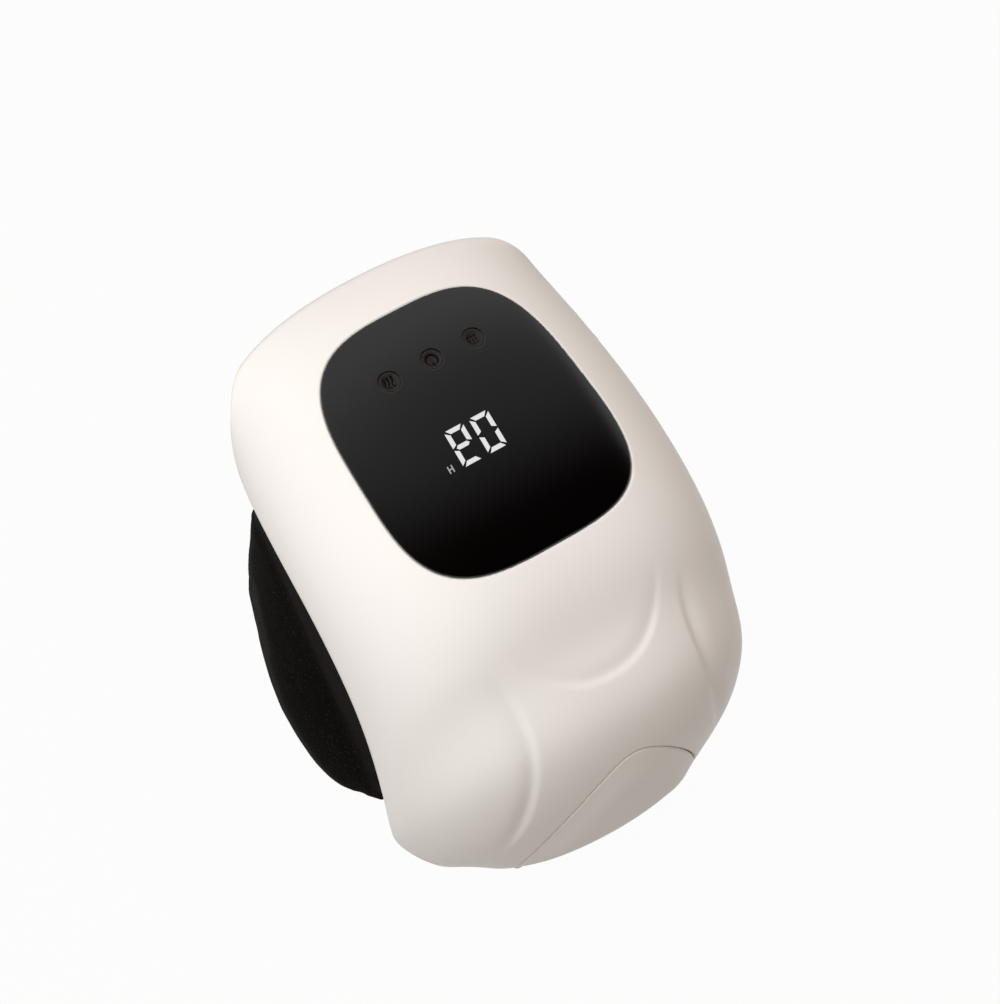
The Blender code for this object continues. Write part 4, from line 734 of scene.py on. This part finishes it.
# The lit figures: bars of light behind the smoked sheet, two figures and a small letter for the
# heat. Each bar has slanted ends that leave a dark gap at the next one.
FIGURE_HEIGHT, FIGURE_WIDTH, FIGURE_FOOT = 0.0121, 0.0073, 0.0159
BAR_WIDTH, BAR_GAP = 0.0016, 0.00036
FIGURE_SLANT, CORNER_REACH, LEFT_FIGURE_X, RIGHT_FIGURE_X = 0.07, 0.6, -0.0117, -0.0020
LIGHT_RISE, LIGHT_SINK, UNLIT_GREY = 0.00004, 0.00006, (0.08, 0.08, 0.08)
LIGHT_WHITE, LIGHT_DIM = (1.0, 1.0, 1.0), (0.86, 0.87, 0.88)


def glowing(name, strength):
    """A lit part of the display, with a little unevenness along each bar."""
    made, tree, shader = new_material(name, UNLIT_GREY, 0.4)
    grain = add_node(tree, "Group", {"Grains per metre": 500.0}, MOULDED_GRAIN)
    tint = two_tone(tree, LIGHT_WHITE, LIGHT_DIM)
    shader.inputs["Emission Strength"].default_value = strength
    wire(tree, (grain, "Dull", tint, "Factor"), (tint, "Result", shader, "Emission Color"))
    return made


def lit_bars(name, bars, width, gap, look):
    """Flat bars laid just over the panel. Each has its two ends in plan, then how far its four
    corners stand back, in half widths: left low, left high, right high, right low."""
    work = bmesh.new()
    for low, high, *cuts in bars:
        low, high = Vector(low), Vector(high)
        along = (high - low).normalized()
        half = Vector((-along.y, along.x)) * width / 2
        low, high, back = low + along * gap, high - along * gap, along * width / 2
        outline = [low + half + back * cuts[0], high + half - back * cuts[1]]
        outline += [high - half - back * cuts[2], low - half + back * cuts[3]]
        if min(cuts) == 1:
            outline = [low, *outline[:2], high, *outline[2:]]
        leaning = [(x + FIGURE_SLANT * (y - FIGURE_FOOT), y, 0) for x, y in outline]
        work.faces.new([work.verts.new(spot) for spot in leaning])
    bmesh.ops.recalc_face_normals(work, faces=work.faces)
    bmesh.ops.subdivide_edges(work, edges=work.edges[:], cuts=2, use_grid_fill=True)
    bmesh.ops.triangulate(work, faces=work.faces[:])
    bmesh.ops.solidify(work, geom=work.faces[:], thickness=LIGHT_RISE + LIGHT_SINK)
    x, y, z = np.array([vert.co for vert in work.verts]).T
    sinks = np.where(np.abs(z) > LIGHT_RISE / 2, LIGHT_SINK, -LIGHT_RISE) - PANEL_PROUD
    for vert, spot in zip(work.verts, ARCH.over(x, y, sinks)):
        vert.co = spot
    obj = mesh_object(name, work, look, smooth=False)
    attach(obj, "housing")


def figure_bars(left, lit):
    """The lit bars of one figure, named a to g in the order of a seven-bar display.
    An outer bar is long on its outer side, and the middle one is pointed."""
    right, foot, out = left + FIGURE_WIDTH - BAR_WIDTH, FIGURE_FOOT, -CORNER_REACH
    middle, head = foot + FIGURE_HEIGHT / 2, foot + FIGURE_HEIGHT
    bars = {"a": ((left, head), (right, head), out, out, 1, 1),
            "b": ((right, middle), (right, head), 1, 1, out, 0),
            "c": ((right, foot), (right, middle), 1, 1, 0, out),
            "d": ((left, foot), (right, foot), 1, 1, out, out),
            "e": ((left, foot), (left, middle), out, 0, 1, 1),
            "f": ((left, middle), (left, head), 0, out, 1, 1),
            "g": ((left, middle), (right, middle), 1, 1, 1, 1)}
    return [bars[word] for word in lit]


FIGURE_STRENGTH, LETTER_STRENGTH = 0.74, 0.34
FIGURE_GLOW = glowing("lit_figures", FIGURE_STRENGTH)
LETTER_GLOW = glowing("lit_letter", LETTER_STRENGTH)
lit_bars("left_figure", figure_bars(LEFT_FIGURE_X, "abdefg"), BAR_WIDTH, BAR_GAP, FIGURE_GLOW)
lit_bars("right_figure", figure_bars(RIGHT_FIGURE_X, "abcdef"), BAR_WIDTH, BAR_GAP, FIGURE_GLOW)
LETTER_X, LETTER_Y, LETTER_STROKE = -0.0166, 0.0168, 0.00042
LETTER_HALF_WIDTH, LETTER_HALF_HEIGHT = 0.0007, 0.0013
left, right = LETTER_X - LETTER_HALF_WIDTH, LETTER_X + LETTER_HALF_WIDTH
foot, head = LETTER_Y - LETTER_HALF_HEIGHT, LETTER_Y + LETTER_HALF_HEIGHT
strokes = (((left, foot), (left, head)), ((right, foot), (right, head)),
           ((left, LETTER_Y), (right, LETTER_Y)))
letter = [(*ends, 0, 0, 0, 0) for ends in strokes]
lit_bars("heat_letter", letter, LETTER_STROKE, 0.0, LETTER_GLOW)

# The wings: black padded sleeves of loop pile over foam, sewn to the rails inside the shell's rims
# and bound round their open edges. Each crosses its bending line in one piece, joined whole to the
# housing.
CLOTH_FRAMES, CLOTH_PRESSURE, CLOTH_CLEAR = 20, 4.0, 0.0003
BEND_X, BEND_Y, BEND_Z, BEND_SLOPE, BEND_HALF = 0.06275, 0.003, 0.04225, 0.38725, 0.007
WING_VOXEL, WING_SHRINK, WING_SWELL, WING_FREE = 0.0021, 0.0006, 0.0019, (0.002, 0.018)
FLOOR_CLEAR, TAPE_CLEAR, TAPE_ROOM = 0.0001, 0.0001, 0.001


def points_of(mesh):
    """The mesh's places, one row for each."""
    flat = np.empty(3 * len(mesh.vertices))
    mesh.vertices.foreach_get("co", flat)
    return flat.reshape(-1, 3)


def outward(mesh):
    """The way out of the mesh at each of its places."""
    flat = np.empty(3 * len(mesh.vertices))
    mesh.vertex_normals.foreach_get("vector", flat)
    return flat.reshape(-1, 3)


def put_points(mesh, spots):
    mesh.vertices.foreach_set("co", np.ascontiguousarray(spots).ravel())
    mesh.update()


def modified(obj):
    return obj.evaluated_get(bpy.context.evaluated_depsgraph_get())


def apply_modifiers(obj):
    obj.data = bpy.data.meshes.new_from_object(modified(obj))
    obj.modifiers.clear()


def even_skin(name, sources, voxel):
    """The nodes' outer form as one mesh of even small faces."""
    work = bmesh.new()
    for source in sources:
        work.from_mesh(nodes[source].data)
    bmesh.ops.remove_doubles(work, verts=work.verts, dist=1e-5)
    obj = mesh_object(name, work, smooth=False)
    remesh = obj.modifiers.new("even", "REMESH")
    remesh.mode = "VOXEL"
    remesh.voxel_size = voxel
    relax = obj.modifiers.new("relax", "SMOOTH")
    relax.iterations = 3
    apply_modifiers(obj)
    return obj


def surface_of(piece):
    """The piece's faces, to be asked for the nearest place on them."""
    work = bmesh.new()
    work.from_mesh(piece.data)
    surface = BVHTree.FromBMesh(work)
    work.free()
    return surface


def room_round(spots, neighbours):
    """Distance from each place to the nearest surface of the pieces it must stay clear of."""
    near = [surface_of(piece) for piece in neighbours]
    return np.array([min(surface.find_nearest(spot)[3] for surface in near)
                     for spot in spots.tolist()])


def swell(obj, reach):
    """Lets the fabric swell by a cloth simulation, each point within its own reach."""
    start = points_of(obj.data)
    cloth = obj.modifiers.new("cloth", "CLOTH")
    cloth.settings.use_pressure = True
    cloth.settings.uniform_pressure_force = CLOTH_PRESSURE
    cloth.settings.effector_weights.gravity = 0
    for step in range(1, CLOTH_FRAMES + 1):
        scene.frame_set(step)
    move = points_of(modified(obj).data) - start
    obj.modifiers.clear()
    scene.frame_set(1)
    length = np.linalg.norm(move, axis=1)
    put_points(obj.data, start + move * np.minimum(1, reach / np.maximum(length, 1e-9))[:, None])


def finer(obj):
    """One subdivision, applied."""
    split = obj.modifiers.new("finer", "SUBSURF")
    split.levels = split.render_levels = 1
    apply_modifiers(obj)
    for face in obj.data.polygons:
        face.use_smooth = True


def past_bend(spots):
    """How far a place lies beyond a wing's bending line, down the wing."""
    down = np.array([BEND_SLOPE, -1]) / math.hypot(BEND_SLOPE, 1)
    return (spots[:, 1:] - (BEND_Y, BEND_Z)) @ down


def bend_with(obj):
    """Bakes a sleeve or its binding into place and joins it, whole, to the housing."""
    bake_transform(obj)
    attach(obj, "housing")


ARCH_X, ARCH_Z, TIP_TOP, TIP_OUTER, TIP_INSET, TIP_PLACES = 0.020, 0.050, 0.016, 0.040, 0.006, 22
EDGE_FROM, EDGE_TO, EDGE_TURN, EDGE_FEWEST = 36, -92, 4, 60
EDGE_STRIP, TIP_STRIP_HALF, EDGE_ROUNDS, EDGE_UP = 0.0022, 0.003, 4, 0.032


def edge_path(obj, side):
    """Places along a wing's open edge: down its shin side, round its tip and up its thigh side."""
    spots, skin = points_of(obj.data), surface_of(obj)
    turn = np.degrees(np.arctan2(spots[:, 2] - ARCH_Z, side * spots[:, 0] - ARCH_X))
    shin, thigh, tip = [], [], []
    for first in range(EDGE_FROM, EDGE_TO, -EDGE_TURN):
        ring = spots[(turn <= first) & (turn > first - EDGE_TURN)]
        if len(ring) >= EDGE_FEWEST:
            low, high = ring[:, 1].min(), ring[:, 1].max()
            shin.append(ring[ring[:, 1] < low + EDGE_STRIP].mean(0))
            thigh.append(ring[ring[:, 1] > high - EDGE_STRIP].mean(0))
    flat = spots[(spots[:, 2] < TIP_TOP) & (side * spots[:, 0] < TIP_OUTER)]
    for middle in np.linspace(shin[-1][1] + TIP_INSET, thigh[-1][1] - TIP_INSET, TIP_PLACES):
        strip = flat[np.abs(flat[:, 1] - middle) < TIP_STRIP_HALF]
        if len(strip) > 0:
            reach = side * strip[:, 0]
            tip.append(strip[reach < reach.min() + EDGE_STRIP].mean(0))
    path = np.array(shin + tip + thigh[::-1])
    for _ in range(EDGE_ROUNDS):
        for _ in range(EDGE_ROUNDS):
            path[1:-1] = (path[:-2] + 2 * path[1:-1] + path[2:]) / 4
        path = np.array([skin.find_nearest(spot)[0] for spot in path.tolist()])
    return path[past_bend(path) > -EDGE_UP]


def bound_edge(name, path):
    """A turned binding tape along the open edge, as a round cord of fabric."""
    obj = drawn_lines(name, "NURBS", [path.tolist()], BINDING_RADIUS, 3, BINDING_FABRIC)
    put_points(obj.data, on_ground(points_of(obj.data), FLOOR_CLEAR))
    return obj


SPECK_LEAST, SPECK_FULL, PILE_STRENGTH, PILE_ROUGHNESS = 0.60, 0.74, 0.8, 0.95


def pile_group():
    """Loop pile: a height for its loops, a mask for pale specks, and a broad shade."""
    group, start, end, place = effect_group("loop_pile", "Loops per metre",
                                            ("Height", "Speck", "Shade"))
    loops, specks = add_node(group, "TexVoronoi"), add_node(group, "TexNoise", {"Detail": 2.0})
    broad = add_node(group, "TexNoise", {"Scale": 45.0, "Detail": 5.0})
    pick = ramp(group, SPECK_LEAST, SPECK_FULL, 0.0, 1.0)
    wire(group, (place, "Object", loops, "Vector"), (place, "Object", specks, "Vector"),
         (place, "Object", broad, "Vector"), (start, 0, loops, "Scale"),
         (start, 0, specks, "Scale"), (loops, "Distance", end, "Height"),
         (specks, "Fac", pick, "Value"), (pick, "Result", end, "Speck"),
         (broad, "Fac", end, "Shade"))
    return group


LOOP_PILE = pile_group()


def piled(name, colour, shade, speck, loops, bump, sheen, mirror):
    """Fabric with a loop pile: its own colour, a shaded one, and the colour of its specks."""
    made, tree, shader = new_material(name, colour, PILE_ROUGHNESS)
    pile = add_node(tree, "Group", {"Loops per metre": loops}, LOOP_PILE)
    broad, spotted = two_tone(tree, colour, shade), two_tone(tree, colour, speck)
    shader.inputs["Specular IOR Level"].default_value = mirror
    shader.inputs["Sheen Weight"].default_value = sheen
    wire(tree, (pile, "Shade", broad, "Factor"), (broad, "Result", spotted, "A"),
         (pile, "Speck", spotted, "Factor"), (spotted, "Result", shader, "Base Color"))
    raised(tree, shader, pile, bump, PILE_STRENGTH)
    return made


WING_FABRIC = piled("wing_fabric", (0.0042, 0.0036, 0.0027), (0.0021, 0.0018, 0.0014),
                    (0.019, 0.017, 0.013), loops=1300, bump=0.00025, sheen=0.02, mirror=0.05)
BINDING_FABRIC = piled("wing_binding", (0.0070, 0.0066, 0.0060), (0.0045, 0.0042, 0.0040),
                       (0.014, 0.013, 0.012), loops=2200, bump=0.00010, sheen=0.02,
                       mirror=0.10)
BINDING_RADIUS, STITCH_IN, STITCH_DEEP, STITCH_WIDE = 0.0008, 0.0056, 0.00045, 0.0010
STITCH_FROM = 0.004


def padded_wing(name, side, sources, tape):
    """One sleeve, swollen and stitched, kept off the floor and its tape, with its binding."""
    obj = even_skin(name, sources, WING_VOXEL)
    spots = points_of(obj.data)
    free = smooth((past_bend(spots) - WING_FREE[0]) / (WING_FREE[1] - WING_FREE[0]))
    put_points(obj.data, spots - outward(obj.data) * (WING_SHRINK * free)[:, None])
    spots = points_of(obj.data)
    near = [shell_cover, *(nodes[word] for word in (
        "inner_frame", "knee_liner", "left_wing_rail", "right_wing_rail", tape))]
    room = np.maximum(room_round(spots, near) - CLOTH_CLEAR, 0)
    swell(obj, np.minimum(WING_SWELL * free, room))
    finer(obj)
    spots, path = points_of(obj.data), edge_path(obj, side)
    away = np.min(np.linalg.norm(spots[:, None, :] - path[None, :, :], axis=2), axis=1)
    groove = STITCH_DEEP * np.exp(-((away - STITCH_IN) / STITCH_WIDE) ** 2)
    spots = spots - outward(obj.data) * (groove * (past_bend(spots) > STITCH_FROM))[:, None]
    low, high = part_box(tape)
    over_tape = spots[:, 2] < high.z + TAPE_ROOM
    for axis in range(2):
        over_tape &= spots[:, axis] > low[axis] - TAPE_ROOM
        over_tape &= spots[:, axis] < high[axis] + TAPE_ROOM
    lowest = np.where(over_tape, high.z + TAPE_CLEAR, FLOOR_CLEAR)
    put_points(obj.data, on_ground(spots, lowest))
    obj.data.materials.append(WING_FABRIC)
    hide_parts(*sources)
    bend_with(obj)
    bend_with(bound_edge(name.replace("sleeve", "binding"), path))


for hand, side, tape in (("left", -1, "hook_tab"), ("right", 1, "loop_patch")):
    padded_wing(hand + "_wing_sleeve", side, (hand + "_wing", hand + "_wing_root"), tape)

# The knee liner: a soft spacer-mesh pad on the tray, quilted in diamonds, that touches the knee.
LINER_VOXEL, LINER_SWELL, KNEE_RADIUS, KNEE_SIDE, EDGE_PLAIN = 0.0015, 0.0012, 0.055, 0.2, 0.0015
QUILT_PITCH, QUILT_DEEP, QUILT_WIDE, QUILT_LEAN = 0.024, 0.0006, 0.0011, 1.6
liner = even_skin("liner_pad", ("knee_liner",), LINER_VOXEL)
spots = points_of(liner.data)
spots_room = room_round(spots, [nodes["inner_frame"], nodes["heating_film"]])
swell(liner, np.minimum(LINER_SWELL, np.maximum(spots_room - CLOTH_CLEAR, 0)))
finer(liner)
spots, facing = points_of(liner.data), outward(liner.data)
around = np.arctan2(spots[:, 0], spots[:, 2]) * KNEE_RADIUS * QUILT_LEAN
seams = [(spots[:, 1] + turned * around) % QUILT_PITCH - QUILT_PITCH / 2 for turned in (-1, 1)]
quilt = sum(np.exp(-(seam / QUILT_WIDE) ** 2) for seam in seams)
off_tray = room_round(spots, [nodes["inner_frame"]]) - EDGE_PLAIN
knee_side = smooth((KNEE_SIDE - facing[:, 2]) / (2 * KNEE_SIDE)) * smooth(off_tray / EDGE_PLAIN)
put_points(liner.data, spots - facing * (QUILT_DEEP * np.minimum(quilt, 1) * knee_side)[:, None])
liner.data.materials.append(piled("liner_mesh", (0.016, 0.016, 0.017), (0.009, 0.009, 0.010),
                                  (0.035, 0.035, 0.036), loops=700, bump=0.00035,
                                  sheen=0.02, mirror=0.15))
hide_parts("knee_liner")
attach(liner, "housing")

# The fastener: a woven tab with moulded hooks on the left wing, and the loop patch that it meets on
# the right one, both glued into their seats.
FASTENER = piled("fastener_tape", (0.020, 0.020, 0.021), (0.011, 0.011, 0.012),
                 (0.06, 0.06, 0.06), loops=850, bump=0.00030, sheen=0.0, mirror=0.25)


def finish(look, *names):
    """Gives a finish to pieces that keep their CAD form."""
    for name in names:
        nodes[name].material_slots[0].material = look


finish(FASTENER, "hook_tab", "loop_patch")

# What the shell holds: the tray, rails and battery cradle are dark grey mouldings, the switches and
# the display black ones, and the charging port's cover is soft rubber.
FRAME_GREY = moulded("frame_grey", (0.045, 0.046, 0.048), 0.50, grains=800, bump=0.00002,
                     spread=0.15, mirror=0.4)
SWITCH_BLACK = moulded("switch_black", (0.018, 0.018, 0.019), 0.38, grains=900, bump=0.00001,
                       spread=0.15)
SOFT_BLACK = moulded("soft_black", (0.022, 0.022, 0.022), 0.75, grains=1500, bump=0.00003,
                     spread=0.2, mirror=0.2)
finish(FRAME_GREY, "inner_frame", "left_wing_rail", "right_wing_rail", "battery_cradle")
finish(SWITCH_BLACK, "digit_display", "heat_switch", "power_switch", "massage_switch")
finish(SOFT_BLACK, "socket_cover")

# Three small ridges near the free end of the port's cover, for a fingernail.
GRIP_HALF, GRIP_AT = (0.00032, 0.0021, 0.00035), (-0.0058, -0.0047, -0.0036)
grip_work = bmesh.new()
for at in GRIP_AT:
    ridge = bmesh.ops.create_uvsphere(grip_work, u_segments=20, v_segments=12, radius=1.0)["verts"]
    for vert in ridge:
        along, up, out = (half * share for half, share in zip(GRIP_HALF, vert.co))
        vert.co = PORT_SPOT + PORT_ALONG * (at + along) + PORT_UP * up + PORT_OUT * out
grip = mesh_object("cover_grip", grip_work, SOFT_BLACK)
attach(grip, "port_flap")

# The metal parts: motor cans, their clamps and off-centre weights, the screws and the socket's
# shield, pressed or turned from plated steel, with fine lines from the tool.
STEEL_BRIGHT, STEEL_STAINED, STEEL_GLOSS = (0.60, 0.60, 0.59), (0.42, 0.41, 0.40), (0.22, 0.46)
LINES_PER_METRE, STAINS_PER_METRE, LINE_RISE = (3000.0, 90.0, 3000.0), 120.0, 0.000006
STEEL, steel_tree, steel_shader = new_material("steel", (0.56, 0.56, 0.55), 0.32, 1.0)
steel_place = add_node(steel_tree, "TexCoord")
steel_stretch = add_node(steel_tree, "Mapping", {"Scale": LINES_PER_METRE})
steel_lines = add_node(steel_tree, "TexNoise", {"Scale": 1.0})
steel_stain = add_node(steel_tree, "TexNoise", {"Scale": STAINS_PER_METRE})
steel_gloss = ramp(steel_tree, 0.0, 1.0, *STEEL_GLOSS)
steel_tint = two_tone(steel_tree, STEEL_BRIGHT, STEEL_STAINED)
wire(steel_tree, (steel_place, "Object", steel_stretch, "Vector"),
     (steel_place, "Object", steel_stain, "Vector"),
     (steel_stretch, "Vector", steel_lines, "Vector"), (steel_lines, "Fac", steel_gloss, "Value"),
     (steel_gloss, "Result", steel_shader, "Roughness"), (steel_stain, "Fac", steel_tint, "Factor"),
     (steel_tint, "Result", steel_shader, "Base Color"))
raised(steel_tree, steel_shader, steel_lines, LINE_RISE, height="Fac")
finish(STEEL, "charging_socket", *(name for name in nodes if "screw" in name or "motor" in name))


# The two boards, the heating film and the cells: green lacquer over copper tracks, an amber film
# over a winding track, and a shrink sleeve over each steel cell.
TRACKS_WANDER, TRACK_CORE, TRACK_RISE = 0.6, 0.7, 0.00003


def tracked(name, colour, track, roughness, cells, share):
    """A thin film or lacquer with conducting tracks showing through it as fine lines."""
    made, tree, shader = new_material(name, colour, roughness)
    place = add_node(tree, "TexCoord")
    lines = add_node(tree, "TexVoronoi")
    lines.feature = "DISTANCE_TO_EDGE"
    lines.inputs["Scale"].default_value = cells
    lines.inputs["Randomness"].default_value = TRACKS_WANDER
    mask = ramp(tree, share, share * TRACK_CORE, 0.0, 1.0)
    tint = two_tone(tree, colour, track)
    wire(tree, (place, "Object", lines, "Vector"), (lines, "Distance", mask, "Value"),
         (mask, "Result", tint, "Factor"), (tint, "Result", shader, "Base Color"))
    raised(tree, shader, mask, TRACK_RISE, height="Result")
    return made


BOARD_GREEN = tracked("board_green", (0.010, 0.085, 0.030), (0.030, 0.160, 0.060), 0.32, 260, 0.10)
HEATER_AMBER = tracked("heater_amber", (0.42, 0.155, 0.018), (0.30, 0.085, 0.020), 0.28, 130, 0.16)
CELL_WRAP = moulded("cell_wrap", (0.030, 0.085, 0.260), 0.30, grains=600, bump=0.00001,
                    spread=0.15, coat=0.2)
finish(BOARD_GREEN, "main_board", "socket_board")
finish(HEATER_AMBER, "heating_film")
finish(CELL_WRAP, "battery_cell_shin", "battery_cell_thigh")
